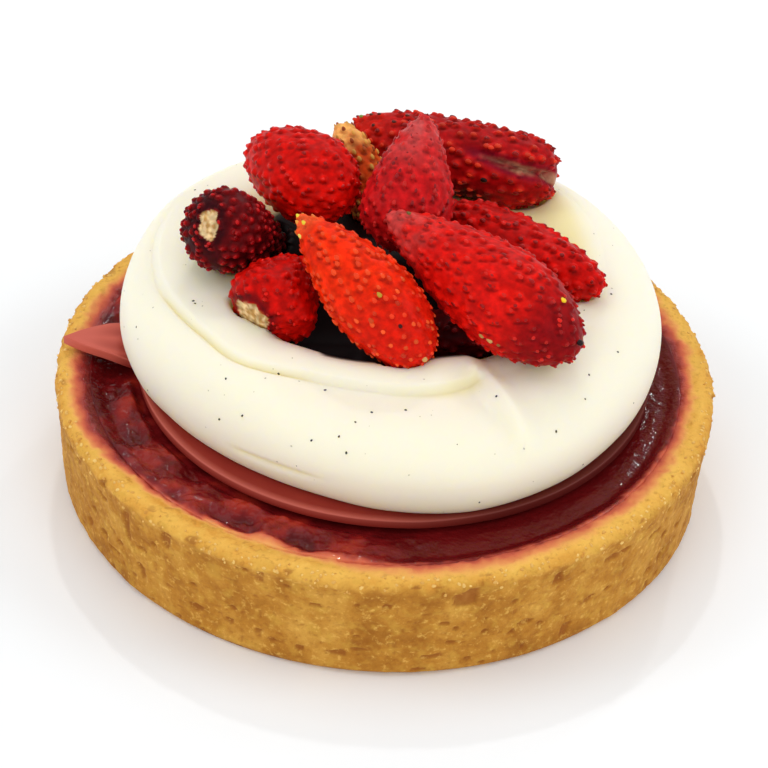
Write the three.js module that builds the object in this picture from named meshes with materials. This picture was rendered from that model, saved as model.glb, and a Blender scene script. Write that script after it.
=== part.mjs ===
// Strawberry tart: a shortcrust shell with jam, a thin pointed disc, a ring of
// cream with a folded lip, and a heap of small knobbly strawberries.
// Millimetres, +Z up, base on z = 0, the pointed corner of the disc at -X.
import * as THREE from 'three';

// crust
const RIM_RADIUS = 40;
const BASE_RADIUS = 39.2;
const CRUST_HEIGHT = 14.7;
const FLOOR_THICKNESS = 3.2;
const RIM_INNER_RADIUS = 36.4;
const WALL_INNER_RADIUS = 34.2;
const CRUMBLE = 0.3;

// jam
const JAM_RADIUS = 33.9;
const JAM_LEVEL = 13.1;
const LUMP_HEIGHT = 0.9;

// disc
const DISC_RADIUS = 31.2;
const DISC_X = 0.9;
const DISC_Y = 1.9;
const DISC_FLAT = 26;
const DISC_UNDERSIDE = 13.75;
const DISC_THICKNESS = 1.2;
const TIP_REACH = 40.05;
const TIP_ANGLE = 182.6;
const TIP_WIDTH = 6.7;
const TIP_LIFT = 1.35;

// cream
const CREAM_X = 1;
const CREAM_Y = 1;
const BULGE_HEIGHT = 19.3;
const UNDERCUT = 1.5;
const WELL_DEPTH = 7.2;
const WELL_BACK_RISE = 6;
const WELL_RUN = 9.5;
const LIP_RISE = 2;
const SHOULDER = 4;
const PRESS_ROOM = 1.9;
const GAP = 0.3;

// strawberries
const BUMP = 0.4;
const CLEFT_ANGLE = -42;
const SCAR_FLAT = 0.16;

const radians = (degrees) => (degrees * Math.PI) / 180;
const clamp = (x, low, high) => Math.min(high, Math.max(low, x));
const turn = (degrees) => ((degrees % 360) + 360) % 360;

function smooth(x) {
  const t = clamp(x, 0, 1);
  return t * t * (3 - 2 * t);
}

// a repeatable value between -1 and 1 for a grid point
function lattice(i, j, k, seed) {
  let h = Math.imul(i, 374761393) ^ Math.imul(j, 668265263) ^ Math.imul(k, 2147483647 - 58);
  h = Math.imul(h ^ (h >>> 13) ^ Math.imul(seed, 1274126177), 1103515245);
  h ^= h >>> 16;
  return ((h >>> 0) / 4294967295) * 2 - 1;
}

// smooth noise in space, about one unit from lump to lump
function noise(x, y, z, seed) {
  const i = Math.floor(x);
  const j = Math.floor(y);
  const k = Math.floor(z);
  const u = smooth(x - i);
  const v = smooth(y - j);
  const w = smooth(z - k);
  let sum = 0;
  for (let a = 0; a < 2; a += 1) {
    for (let b = 0; b < 2; b += 1) {
      for (let c = 0; c < 2; c += 1) {
        const weight = (a ? u : 1 - u) * (b ? v : 1 - v) * (c ? w : 1 - w);
        sum += weight * lattice(i + a, j + b, k + c, seed);
      }
    }
  }
  return sum;
}

// a smooth closed curve through [angle, value] pairs
function around(pairs, angle) {
  const n = pairs.length;
  const start = pairs[0][0];
  const a = start + turn(angle - start);
  let i = n - 1;
  while (i > 0 && pairs[i][0] > a) {
    i -= 1;
  }
  const at = (q) => pairs[((q % n) + n) % n][0] + 360 * Math.floor(q / n);
  const value = (q) => pairs[((q % n) + n) % n][1];
  const slope = (q) => (value(q + 1) - value(q - 1)) / (at(q + 1) - at(q - 1));
  const h = at(i + 1) - at(i);
  const t = (a - at(i)) / h;
  const t2 = t * t;
  const t3 = t2 * t;
  return (
    (2 * t3 - 3 * t2 + 1) * value(i) +
    (t3 - 2 * t2 + t) * h * slope(i) +
    (-2 * t3 + 3 * t2) * value(i + 1) +
    (t3 - t2) * h * slope(i + 1)
  );
}

// A closed skin from a bottom pole to a top pole. rows[j](i) gives the point
// of row j at step i round the axis; the two poles close the ends.
function closedSkin(steps, rows, bottom, top) {
  const positions = [...bottom];
  rows.forEach((row) => {
    for (let i = 0; i < steps; i += 1) {
      positions.push(...row(i));
    }
  });
  positions.push(...top);
  const last = 1 + rows.length * steps;
  const index = [];
  for (let i = 0; i < steps; i += 1) {
    const next = (i + 1) % steps;
    index.push(0, 1 + next, 1 + i);
    for (let j = 0; j + 1 < rows.length; j += 1) {
      const a = 1 + j * steps;
      const b = a + steps;
      index.push(a + i, a + next, b + i, a + next, b + next, b + i);
    }
    const e = last - steps;
    index.push(e + i, e + next, last);
  }
  const geometry = new THREE.BufferGeometry();
  geometry.setAttribute('position', new THREE.Float32BufferAttribute(positions, 3));
  geometry.setIndex(index);
  geometry.computeVertexNormals();
  return geometry;
}

const group = new THREE.Group();
group.name = 'strawberry_tart';

function add(name, geometry, color, roughness) {
  const material = new THREE.MeshStandardMaterial({ color, roughness });
  material.name = `${name}_surface`;
  const mesh = new THREE.Mesh(geometry, material);
  mesh.name = name;
  group.add(mesh);
  return mesh;
}

// crust: a cup with a flat base, a crumbly wall and a rim that slopes inwards
const CRUST_STEPS = 72;
const crustProfile = [
  [BASE_RADIUS - 0.9, 0, 0],
  [BASE_RADIUS - 0.15, 0.7, 0.3],
  [BASE_RADIUS + 0.05, 4.5, 0.8],
  [BASE_RADIUS + 0.25, 8.5, 0.8],
  [BASE_RADIUS + 0.55, 12.2, 0.8],
  [RIM_RADIUS, CRUST_HEIGHT - 0.9, 0.5],
  [RIM_RADIUS - 0.7, CRUST_HEIGHT - 0.05, 1],
  [RIM_RADIUS - 2.1, CRUST_HEIGHT, 1],
  [RIM_INNER_RADIUS, CRUST_HEIGHT - 0.3, 1],
  [RIM_INNER_RADIUS - 1.1, JAM_LEVEL + 0.75, 0.6],
  [WALL_INNER_RADIUS, JAM_LEVEL - 0.1, 0],
  [WALL_INNER_RADIUS - 0.4, FLOOR_THICKNESS, 0],
];

function crustRow([radius, height, rough]) {
  return (i) => {
    const angle = (2 * Math.PI * i) / CRUST_STEPS;
    const x = Math.cos(angle);
    const y = Math.sin(angle);
    const coarse = noise(x * 9, y * 9, height / 3, 11);
    const fine = noise(x * 19 + 7, y * 19, height / 1.5, 12);
    const quarter = i % (CRUST_STEPS / 4) === 0 ? 0 : 1;
    const dent = -CRUMBLE * rough * quarter * Math.abs(0.7 * coarse + 0.5 * fine);
    const lift = height > CRUST_HEIGHT - 0.5 ? 0.6 * dent : 0;
    const r = radius + (height > JAM_LEVEL - 0.2 && radius < RIM_RADIUS - 1 ? -dent * 0.5 : dent);
    return [r * x, r * y, height + lift];
  };
}

add(
  'crust',
  closedSkin(CRUST_STEPS, crustProfile.map(crustRow), [0, 0, 0], [0, 0, FLOOR_THICKNESS]),
  0xd8a75c,
  0.85,
);

// height of the underside of the disc: flat, and bent up over the rim at -X
function discUnderside(x) {
  return DISC_UNDERSIDE + TIP_LIFT * smooth((-x - 27) / 7.5);
}

// outline of the disc, with the pointed corner
function discReach(angle) {
  const away = turn(angle - TIP_ANGLE + 180) - 180;
  const t = clamp(1 - Math.abs(away) / TIP_WIDTH, 0, 1);
  return DISC_RADIUS + (TIP_REACH - DISC_RADIUS) * t ** 0.7;
}

// jam: lumpy on the left and at the front, smooth on the right
const JAM_STEPS = 60;

function jamTop(x, y) {
  const lumps = Math.max(0, noise(x / 2.6, y / 2.6, 0.4, 31) + 0.25);
  const side = 0.35 + 0.65 * smooth((18 - x) / 30);
  const clear = smooth((Math.hypot(x - DISC_X, y - DISC_Y) - DISC_RADIUS - 0.6) / 1.4);
  const bearing = (Math.atan2(y - DISC_Y, x - DISC_X) * 180) / Math.PI;
  const away = turn(bearing - TIP_ANGLE + 180) - 180;
  const underTip = smooth((Math.abs(away) - TIP_WIDTH - 2) / 5);
  return JAM_LEVEL + LUMP_HEIGHT * lumps * side * clear * underTip;
}

function jamRow([radius, height]) {
  return (i) => {
    const angle = (2 * Math.PI * i) / JAM_STEPS;
    const x = radius * Math.cos(angle);
    const y = radius * Math.sin(angle);
    return [x, y, height === null ? jamTop(x, y) : height];
  };
}

const jamRows = [
  [WALL_INNER_RADIUS - 0.4 - GAP, FLOOR_THICKNESS + GAP],
  [JAM_RADIUS - 0.05, JAM_LEVEL - 0.35],
  [JAM_RADIUS - 0.15, JAM_LEVEL],
  [33.1, null],
  [32.3, null],
  [31.5, null],
  [30.7, null],
  [26, JAM_LEVEL],
];

add(
  'jam',
  closedSkin(
    JAM_STEPS,
    jamRows.map(jamRow),
    [0, 0, FLOOR_THICKNESS + GAP],
    [0, 0, JAM_LEVEL],
  ),
  0x6a1020,
  0.15,
);

// thin disc between the jam and the cream
const TIP_STEPS = 8;
const ROUND_STEPS = 58;
const discAngles = [];
for (let k = 0; k < TIP_STEPS; k += 1) {
  discAngles.push(TIP_ANGLE - TIP_WIDTH + (2 * TIP_WIDTH * k) / TIP_STEPS);
}
for (let k = 0; k < ROUND_STEPS; k += 1) {
  discAngles.push(TIP_ANGLE + TIP_WIDTH + ((360 - 2 * TIP_WIDTH) * k) / ROUND_STEPS);
}
const DISC_STEPS = discAngles.length;

// share runs from the flat middle (0) to the edge (1)
function discRow([share, inset, level]) {
  return (i) => {
    const reach = DISC_FLAT + (discReach(discAngles[i]) - DISC_FLAT) * share - inset;
    const x = DISC_X + reach * Math.cos(radians(discAngles[i]));
    const y = DISC_Y + reach * Math.sin(radians(discAngles[i]));
    return [x, y, discUnderside(x) + level * DISC_THICKNESS];
  };
}

const discRows = [
  [0, 0, 0],
  [0.5, 0, 0],
  [1, 0.15, 0],
  [1, 0, 0.15],
  [1, 0, 0.85],
  [1, 0.15, 1],
  [0.5, 0, 1],
  [0, 0, 1],
];

add(
  'disc',
  closedSkin(
    DISC_STEPS,
    discRows.map(discRow),
    [DISC_X, DISC_Y, DISC_UNDERSIDE],
    [DISC_X, DISC_Y, DISC_UNDERSIDE + DISC_THICKNESS],
  ),
  0xb4534a,
  0.5,
);

// Strawberries: stem end, tip, girth radius, place of the widest girth (0 to 1
// from the stem end), fullness of the stem end and of the tip, flat stem scar,
// depth of the cleft in the tip.
const BERRIES = [
  {
    name: 'berry_back_left',
    base: [-17.58, 17.54, 33.31],
    tip: [-5.46, 5.37, 35.08],
    girth: 5.92,
    wide: 0.62,
    stem: 2.1,
    point: 1.82,
    scar: 0,
    cleft: 0,
  },
  {
    name: 'berry_left_dark',
    base: [-21.71, -2.6, 35.6],
    tip: [-13.25, 11.85, 23.02],
    girth: 5.39,
    wide: 0.22,
    stem: 2.04,
    point: 1.3,
    scar: 1,
    cleft: 0,
  },
  {
    name: 'berry_left_front',
    base: [-14.88, -10.41, 27.43],
    tip: [-10.42, -1.05, 30.36],
    girth: 5.8,
    wide: 0.3,
    stem: 1.9,
    point: 1.5,
    scar: 1,
    cleft: 0,
  },
  {
    name: 'berry_front',
    base: [4.66, -15.51, 27.33],
    tip: [-11.19, -4.01, 38.66],
    girth: 5.51,
    wide: 0.44,
    stem: 2.14,
    point: 1.42,
    scar: 0,
    cleft: 0,
  },
  {
    name: 'berry_right_front',
    base: [21.81, -15.19, 29.67],
    tip: [-1.03, -1.12, 37.55],
    girth: 6.21,
    wide: 0.38,
    stem: 1.98,
    point: 1.52,
    scar: 0,
    cleft: 0,
  },
  {
    name: 'berry_right',
    base: [24.87, -1.54, 29.02],
    tip: [4.7, 11.93, 29.07],
    girth: 4.5,
    wide: 0.6,
    stem: 2.23,
    point: 2.11,
    scar: 0,
    cleft: 0,
  },
  {
    name: 'berry_middle',
    base: [0.62, 1.91, 30.19],
    tip: [2.94, 12.54, 42.82],
    girth: 5.88,
    wide: 0.3,
    stem: 2,
    point: 1.5,
    scar: 0,
    cleft: 0,
  },
  {
    name: 'berry_back_right',
    base: [-6.32, 24.97, 31.7],
    tip: [19.54, 19.37, 30.36],
    girth: 5.1,
    wide: 0.66,
    stem: 2.6,
    point: 3.2,
    scar: 0,
    cleft: 1.7,
  },
  {
    name: 'berry_back_pale',
    base: [-1.31, 14.07, 25.61],
    tip: [-7.38, 19.77, 36.24],
    girth: 3.5,
    wide: 0.3,
    stem: 2.2,
    point: 2.09,
    scar: 0,
    cleft: 0,
  },
  {
    name: 'berry_under_dark',
    base: [15.8, -2.49, 23.93],
    tip: [0.86, -5.11, 21.76],
    girth: 3.8,
    wide: 0.53,
    stem: 2,
    point: 1.8,
    scar: 0,
    cleft: 0,
  },
];

// girth along a berry as a share of the widest
function fullness(berry, t) {
  if (t < berry.wide) {
    return (1 - (1 - t / berry.wide) ** berry.stem) ** (1 / berry.stem);
  }
  return (1 - ((t - berry.wide) / (1 - berry.wide)) ** berry.point) ** (1 / berry.point);
}

function berryFrame(berry) {
  const base = new THREE.Vector3(...berry.base);
  const along = new THREE.Vector3(...berry.tip).sub(base);
  const length = along.length();
  along.normalize();
  const side = new THREE.Vector3(0, 0, 1);
  side.crossVectors(along, side).normalize();
  const other = new THREE.Vector3().crossVectors(along, side);
  return { base, along, length, side, other };
}

const LOOK_STEP = 0.15;
const BERRY_STEPS = 21;
const BERRY_ROWS = 14;

// The rows are staggered, and one point in three stands out as a seed bump.
function berryGeometry(berry, seed) {
  const { base, along, length, side, other } = berryFrame(berry);
  const first = berry.scar ? 0.025 : 0.012;
  const rows = [];
  for (let j = 0; j < BERRY_ROWS; j += 1) {
    const share = (j + 0.5) / BERRY_ROWS;
    const t = first + (0.985 - first) * (0.5 - 0.5 * Math.cos(Math.PI * share));
    rows.push((i) => {
      const angle = (2 * Math.PI * (i + 0.5 * (j % 2))) / BERRY_STEPS;
      const ring = i - Math.floor(j / 2) - j;
      const raised = ((ring % 3) + 3) % 3 === 0 && j > 0 && j < BERRY_ROWS - 1;
      const full = berry.girth * fullness(berry, t);
      const uneven = noise(Math.cos(angle) * 1.3, Math.sin(angle) * 1.3, t * 4, seed);
      const lump = 0.03 * berry.girth * (1 + uneven);
      const off = turn((angle * 180) / Math.PI - CLEFT_ANGLE + 180) - 180;
      const cleft = berry.cleft * smooth((t - 0.5) / 0.4) * Math.exp(-((off / 13) ** 2));
      const relief = (raised ? 0 : BUMP) + lump + cleft;
      const r = Math.max(0.4 * full, full - relief * Math.min(1, full / 4));
      const p = base
        .clone()
        .addScaledVector(along, t * length)
        .addScaledVector(side, r * Math.cos(angle))
        .addScaledVector(other, r * Math.sin(angle));
      return [p.x, p.y, p.z];
    });
  }
  const start = base.clone().addScaledVector(along, (berry.scar ? SCAR_FLAT * 0.12 : 0.004) * length);
  const end = base.clone().addScaledVector(along, 0.996 * length);
  return closedSkin(BERRY_STEPS, rows, [start.x, start.y, start.z], [end.x, end.y, end.z]);
}

// how deep a point lies inside a berry that is swollen by a margin
function depthIn({ base, along, length }, berry, point, margin) {
  const off = point.clone().sub(base);
  const run = off.dot(along);
  const share = clamp(run / length, 0, 1);
  const aside = Math.sqrt(Math.max(0, off.lengthSq() - run * run));
  return berry.girth * fullness(berry, share) + margin - Math.hypot(aside, run - share * length);
}

// lowest point of a berry above the ground point x, y, or nothing there
function undersideOf(berry, x, y, margin) {
  const frame = berryFrame(berry);
  const reach = berry.girth + margin;
  const high = Math.max(berry.base[2], berry.tip[2]) + reach;
  const point = new THREE.Vector3(x, y, 0);
  for (let z = Math.min(berry.base[2], berry.tip[2]) - reach; z < high; z += LOOK_STEP) {
    point.z = z;
    if (depthIn(frame, berry, point, margin) > 0) {
      return z;
    }
  }
  return Infinity;
}

// Cream, by angle in degrees about its own middle: reach of the bulge, line of
// the groove under the lip, line of the crest, height of the crest.
const BULGE = [
  [-177, 33.2], [-163, 31.9], [-150, 30.4], [-124, 28.9], [-106, 29], [-89, 29.9],
  [-70, 30.7], [-49, 30.6], [-31, 30.6], [-13, 31.2], [5, 32.1], [30, 32.7],
  [60, 32.6], [90, 32.2], [120, 32.6], [145, 33.4], [165, 33.9],
];
const GROOVE = [
  [-179, 29.2], [-165, 27.3], [-151, 25.6], [-138, 24.8], [-127, 23], [-116, 20.9],
  [-101, 20.3], [-88, 20.6], [-75, 20.8], [-61, 20.2], [-45, 20.5], [-20, 23.5],
  [10, 25], [45, 28], [90, 28.5], [130, 30], [162, 31],
];
const CREST = [
  [-179, 24.3], [-165, 22.4], [-152, 22.2], [-143, 21.2], [-125, 19.1], [-92, 17.7],
  [-72, 17.1], [-59, 17.6], [-45, 18.5], [-20, 21], [10, 22.8], [30, 25],
  [45, 27], [90, 27], [130, 27], [162, 26.5],
];
const CREST_HEIGHT = [
  [-179, 27.3], [-120, 27.2], [-62, 27.4], [-52, 26.1], [-35, 26.6], [0, 27.3],
  [45, 27.6], [100, 27.6], [150, 27.4],
];
const LIP_START = 148;
const LIP_SPAN = 150;
const LIP_END_WIDTH = 5;

// how far the lip stands out: 0 without a lip, 1 at its full height
function lipAt(angle) {
  const q = turn(angle - LIP_START);
  if (q >= LIP_SPAN + LIP_END_WIDTH) {
    return 0;
  }
  return smooth(q / 26) * (q < LIP_SPAN ? 1 : 1 - smooth((q - LIP_SPAN) / LIP_END_WIDTH));
}

function creamTop(r, angle) {
  const bulge = around(BULGE, angle);
  const groove = around(GROOVE, angle);
  const crest = around(CREST, angle);
  const height = around(CREST_HEIGHT, angle);
  const lip = lipAt(angle);
  const low = height - LIP_RISE * lip - 0.25 * (1 - lip);
  let z;
  if (r >= groove) {
    const s = clamp((r - groove) / (bulge - groove), 0, 1);
    z = BULGE_HEIGHT + (low - BULGE_HEIGHT) * (1 - s ** 2.15) ** (1 / 2.15);
  } else if (r > crest) {
    const u = (groove - r) / (groove - crest);
    const rise = 0.42 * lip * smooth(u / 0.22) + (1 - 0.42 * lip) * Math.sin((u * Math.PI) / 2);
    z = low + (height - low) * rise;
  } else {
    const y = CREAM_Y + r * Math.sin(radians(angle));
    const depth = WELL_DEPTH - WELL_BACK_RISE * smooth((y + 4) / 10);
    const fromLeft = Math.abs(turn(angle + 180 + 180) - 180);
    const shoulder = SHOULDER * smooth((66 - fromLeft) / 14);
    z = height - depth * smooth((crest - r - shoulder) / (WELL_RUN - shoulder));
  }
  const off = turn(angle + 61.5 + 180) - 180;
  const tail = 0.55 * Math.exp(-((off / 2.2) ** 2));
  return z + tail * smooth((r - 17.5) / 2) * (1 - smooth((r - 22.5) / 4));
}

const creamAngles = [];
for (let a = -180; a < 180; a += a >= -66 && a < -52 ? 2 : 5) {
  creamAngles.push(a);
}
const CREAM_STEPS = creamAngles.length;

function creamPoint(r, angle, z) {
  const x = CREAM_X + r * Math.cos(radians(angle));
  const y = CREAM_Y + r * Math.sin(radians(angle));
  return [x, y, z];
}

// the cream is pressed down wherever a berry lies in it
function pressed(point) {
  let z = point[2];
  BERRIES.forEach((berry) => {
    z = Math.min(z, undersideOf(berry, point[0], point[1], PRESS_ROOM) - 0.1);
  });
  return [point[0], point[1], z];
}

const CREAM_FOOT = DISC_UNDERSIDE + DISC_THICKNESS + GAP;
const creamRows = [];
[[0.8, 0], [1, 0]].forEach(([share]) => {
  creamRows.push((i) => {
    const r = (around(BULGE, creamAngles[i]) - UNDERCUT) * share;
    const p = creamPoint(r, creamAngles[i], CREAM_FOOT);
    p[2] = discUnderside(p[0]) + DISC_THICKNESS + GAP;
    return p;
  });
});
[0.45, 0.8].forEach((share) => {
  creamRows.push((i) => {
    const r = around(BULGE, creamAngles[i]) - UNDERCUT + UNDERCUT * Math.sin((share * Math.PI) / 2);
    const p = creamPoint(r, creamAngles[i], 0);
    const foot = discUnderside(p[0]) + DISC_THICKNESS + GAP;
    p[2] = foot + (BULGE_HEIGHT - foot) * (1 - Math.cos((share * Math.PI) / 2));
    return p;
  });
});
// from the bulge up to the groove, over the lip and down into the well
[0, 0.1, 0.25, 0.45, 0.7, 0.88, 1].forEach((share) => {
  creamRows.push((i) => {
    const a = creamAngles[i];
    const bulge = around(BULGE, a);
    const r = bulge - (bulge - around(GROOVE, a)) * (1 - Math.cos((share * Math.PI) / 2));
    return creamPoint(r, a, creamTop(r, a));
  });
});
[0.2, 0.5, 1].forEach((share) => {
  creamRows.push((i) => {
    const a = creamAngles[i];
    const groove = around(GROOVE, a);
    const r = groove - (groove - around(CREST, a)) * share;
    return pressed(creamPoint(r, a, creamTop(r, a)));
  });
});
[0.9, 0.78, 0.64, 0.5, 0.36, 0.22, 0.1].forEach((share) => {
  creamRows.push((i) => {
    const a = creamAngles[i];
    const r = around(CREST, a) * share;
    return pressed(creamPoint(r, a, creamTop(r, a)));
  });
});

add(
  'cream',
  closedSkin(
    CREAM_STEPS,
    creamRows,
    [CREAM_X, CREAM_Y, CREAM_FOOT],
    pressed(creamPoint(0, 0, creamTop(0, 0))),
  ),
  0xf7f1dc,
  0.45,
);

const BERRY_COLORS = [
  0xb3140f, 0x5a0a14, 0xa8121a, 0xd5260f, 0x9f1218,
  0xa01016, 0xa52a38, 0x8f101a, 0xd98a6a, 0x4a0810,
];

BERRIES.forEach((berry, i) => {
  add(berry.name, berryGeometry(berry, 50 + i), BERRY_COLORS[i], 0.4);
});

export default group;
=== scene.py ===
# %% [markdown]
# A strawberry tart, dressed around its CAD solids.
# It is five things: a baked shell, jam, a thin disc, whipped cream and fresh
# berries. Each gets a fine mesh of its own, because food is judged by its
# relief: crumbs, seeds, folds and wet shine. The CAD solids stay underneath as
# the measured frame, so every mesh here starts from the same sizes.

# %% Load the frame
from itertools import product

import bpy
import numpy as np
from mathutils import Matrix, Vector


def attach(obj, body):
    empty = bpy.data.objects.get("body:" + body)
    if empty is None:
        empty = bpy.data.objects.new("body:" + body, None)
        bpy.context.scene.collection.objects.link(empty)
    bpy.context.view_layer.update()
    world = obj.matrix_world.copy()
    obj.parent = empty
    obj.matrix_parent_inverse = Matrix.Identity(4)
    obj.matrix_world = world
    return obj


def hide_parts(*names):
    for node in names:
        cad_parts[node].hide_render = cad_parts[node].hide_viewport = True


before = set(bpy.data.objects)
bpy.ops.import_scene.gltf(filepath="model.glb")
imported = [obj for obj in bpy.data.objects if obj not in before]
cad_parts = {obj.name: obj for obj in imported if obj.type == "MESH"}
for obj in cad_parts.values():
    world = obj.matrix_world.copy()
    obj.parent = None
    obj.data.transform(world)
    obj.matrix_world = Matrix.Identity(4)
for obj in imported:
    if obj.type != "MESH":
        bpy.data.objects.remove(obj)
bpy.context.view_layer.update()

MM = 0.001

# %% [markdown]
# Colours are written as the sRGB hex values one would pick off a screen, and
# Blender works in linear light, so one function turns them. Shader and Geometry
# Nodes trees are built from one other small function, which adds a node, sets
# it and links it. Two steps that every food's finish shares, colours laid over
# each other by masks and a fine relief, have a function each, so that the
# materials below read like recipes.

# %% Colour and node helpers
def linear(hex_colour):
    c = np.array([int(hex_colour[i:i + 2], 16) / 255 for i in (0, 2, 4)])
    c = np.where(c <= 0.04045, c / 12.92, ((c + 0.055) / 1.055) ** 2.4)
    return (float(c[0]), float(c[1]), float(c[2]), 1.0)


def put(tree, kind, inputs=None, **settings):
    made = tree.nodes.new(kind)
    for name, value in settings.items():
        setattr(made, name, value)
    for name, value in (inputs or {}).items():
        socket = made.inputs[name]
        if isinstance(value, bpy.types.NodeSocket):
            tree.links.new(value, socket)
        else:
            socket.default_value = value
    return made


def new_material(name):
    material = bpy.data.materials.new(name)
    material.use_nodes = True
    material.node_tree.nodes.clear()
    return material, material.node_tree


def show(name, data):
    """put mesh, lamp or camera data into the scene, at the origin"""
    made = bpy.data.objects.new(name, data)
    bpy.context.scene.collection.objects.link(made)
    return made


def lay_over(tree, colour, *layers):
    """cover a colour by layers of (mask, share, colour); a mask is a stored one's name or a socket"""
    for mask, share, cover in layers:
        if isinstance(mask, str):
            mask = put(tree, "ShaderNodeAttribute", attribute_name=mask).outputs["Fac"]
        if share != 1:
            mask = put(tree, "ShaderNodeMath", {0: mask, 1: share}, operation="MULTIPLY").outputs[0]
        if isinstance(cover, str):
            cover = linear(cover)
        laid = put(tree, "ShaderNodeMix", {"Factor": mask, "A": colour, "B": cover}, data_type="RGBA")
        colour = laid.outputs["Result"]
    return colour


def fine_relief(tree, size, depth, strength, detail=2.0):
    """small bumps of a size and depth in mm, as a normal for the shader"""
    where = put(tree, "ShaderNodeTexCoord")
    bumps = put(tree, "ShaderNodeTexNoise",
                {"Vector": where.outputs["Object"], "Scale": 1 / (size * MM), "Detail": detail})
    relief = put(tree, "ShaderNodeBump",
                 {"Height": bumps.outputs["Fac"], "Strength": strength, "Distance": depth * MM})
    return relief.outputs["Normal"]


print("cream white in linear light:", linear("F5F0DD")[:3])

# %% [markdown]
# Baked, whipped and grown surfaces are uneven at several sizes at once. Smooth
# noise, worked out for whole arrays of points, gives that unevenness the same
# way on every run, because its random values come from a hash and not a clock.

# %% Smooth noise for arrays of points
def noise(points, size, seed=0):
    q = np.asarray(points, float) / size
    cell = np.floor(q).astype(np.int64)
    f = q - cell
    f = f * f * (3 - 2 * f)
    total = np.zeros(q.shape[:-1])
    for corner in product((0, 1), repeat=3):
        c = cell + np.array(corner)
        h = c[..., 0] * 374761393 + c[..., 1] * 668265263 + c[..., 2] * 2147483587
        h = (h + seed * 1274126177) & 0xFFFFFFFF
        h = ((h ^ (h >> 13)) * 1103515245) & 0xFFFFFFFF
        h = ((h ^ (h >> 15)) * 739982445) & 0xFFFFFFFF
        h = h ^ (h >> 16)
        weight = np.prod(np.where(np.array(corner) == 1, f, 1 - f), axis=-1)
        total += weight * ((h & 0xFFFF) / 32767.5 - 1)
    return total


def smooth(x):
    x = np.clip(x, 0, 1)
    return x * x * (3 - 2 * x)


def rough(points, sizes, seed=0):
    """several sizes of noise, each with its own height: [(size, height), ...]"""
    return sum(h * noise(points, s, seed + i) for i, (s, h) in enumerate(sizes))


print("noise at three points:", noise(np.eye(3) * 5.3, 2.0, 3).round(3))

# %% [markdown]
# Most pieces here are closed skins that run from a bottom pole to a top pole,
# row by row, like a globe. One function turns such rows into a mesh. Points are
# worked out in millimetres and stored in metres, in place, so each finished
# object sits at the origin unturned and unscaled.

# %% Turn rows of points into a closed mesh
def skin(name, rows, bottom, top, colours=None, masks=None):
    """rows: array (rows, steps, 3) in mm, going round anticlockwise from above"""
    n, steps = rows.shape[:2]
    points = np.concatenate([[bottom], rows.reshape(-1, 3), [top]]) * MM
    i = np.arange(steps)
    nxt = (i + 1) % steps
    quads = []
    for j in range(n - 1):
        a = 1 + j * steps
        quads.append(np.stack([a + i, a + nxt, a + steps + nxt, a + steps + i], 1))
    quads = np.concatenate(quads)
    last = len(points) - 1
    low = np.stack([np.zeros_like(i), 1 + nxt, 1 + i], 1)
    high = np.stack([last - steps + i, last - steps + nxt, np.full_like(i, last)], 1)
    mesh = bpy.data.meshes.new(name)
    mesh.from_pydata(points.tolist(), [], quads.tolist() + low.tolist() + high.tolist())
    mesh.polygons.foreach_set("use_smooth", [True] * len(mesh.polygons))
    for label, values in (colours or {}).items():
        layer = mesh.color_attributes.new(label, "FLOAT_COLOR", "POINT")
        full = np.ones((len(points), 4))
        full[:, :3] = values
        layer.data.foreach_set("color", full.ravel())
    for label, values in (masks or {}).items():
        layer = mesh.attributes.new(label, "FLOAT", "POINT")
        layer.data.foreach_set("value", np.asarray(values, float))
    mesh.update()
    return show(name, mesh)


def with_poles(rows_values, bottom, top):
    """values per row point, with one more for each pole"""
    return np.concatenate([[bottom], np.asarray(rows_values).reshape(-1), [top]])


def dress(piece, material, *nodes, slot=None):
    piece.data.materials.clear()
    piece.data.materials.append(material)
    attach(piece, "root")
    if nodes:
        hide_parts(*nodes)
    corners = np.array([v.co[:] for v in piece.data.vertices]) / MM
    tris = sum(len(p.vertices) - 2 for p in piece.data.polygons)
    print(f"{piece.name}: {tris} triangles, z {corners[:, 2].min():.1f} to {corners[:, 2].max():.1f} mm")


# %% [markdown]
# The camera stands a little above the table and looks down at the tart, far
# enough away for a long lens, as in a close product shot. Its place and angles
# are set as numbers here, so that everything made later can be judged from the
# same view at once.

# %% Camera
CAMERA_PLACE = (0.0, -0.279468, 0.226930)
CAMERA_PITCH = 37.584
CAMERA_YAW = -0.026
CAMERA_ROLL = 3.293
CAMERA_LENS = 135.79

pitch, yaw, roll = np.radians([CAMERA_PITCH, CAMERA_YAW, CAMERA_ROLL])
forward = np.array([np.sin(yaw) * np.cos(pitch), np.cos(yaw) * np.cos(pitch), -np.sin(pitch)])
right = np.cross(forward, [0, 0, 1])
right /= np.linalg.norm(right)
up = np.cross(right, forward)
turned_right = right * np.cos(roll) + up * np.sin(roll)
turned_up = -right * np.sin(roll) + up * np.cos(roll)

camera_data = bpy.data.cameras.new("camera")
camera_data.lens = CAMERA_LENS
camera_data.sensor_width = 36
camera_data.clip_start = 0.01
camera = show("camera", camera_data)
pose = Matrix.Identity(4)
for k, axis in enumerate((turned_right, turned_up, -forward)):
    for row in range(3):
        pose[row][k] = axis[row]
for row in range(3):
    pose[row][3] = CAMERA_PLACE[row]
camera.matrix_world = pose
bpy.context.scene.camera = camera
print("camera looks along", forward.round(3))

# %% [markdown]
# Pale food on a white table is photographed in a tent of soft light: nearly
# all of it comes from every side, and form shows only by gentle falloff. A large
# lamp above models the cream, two wide ones in front fill its low side and the
# shell, two smaller ones clear the shadows at the sides, and two very small
# lamps give the wet jam its sharp sparkle. The plain display transform keeps whites clean
# and reds saturated.

# %% Light, world and floor
bpy.context.scene.view_settings.view_transform = "Standard"

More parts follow.
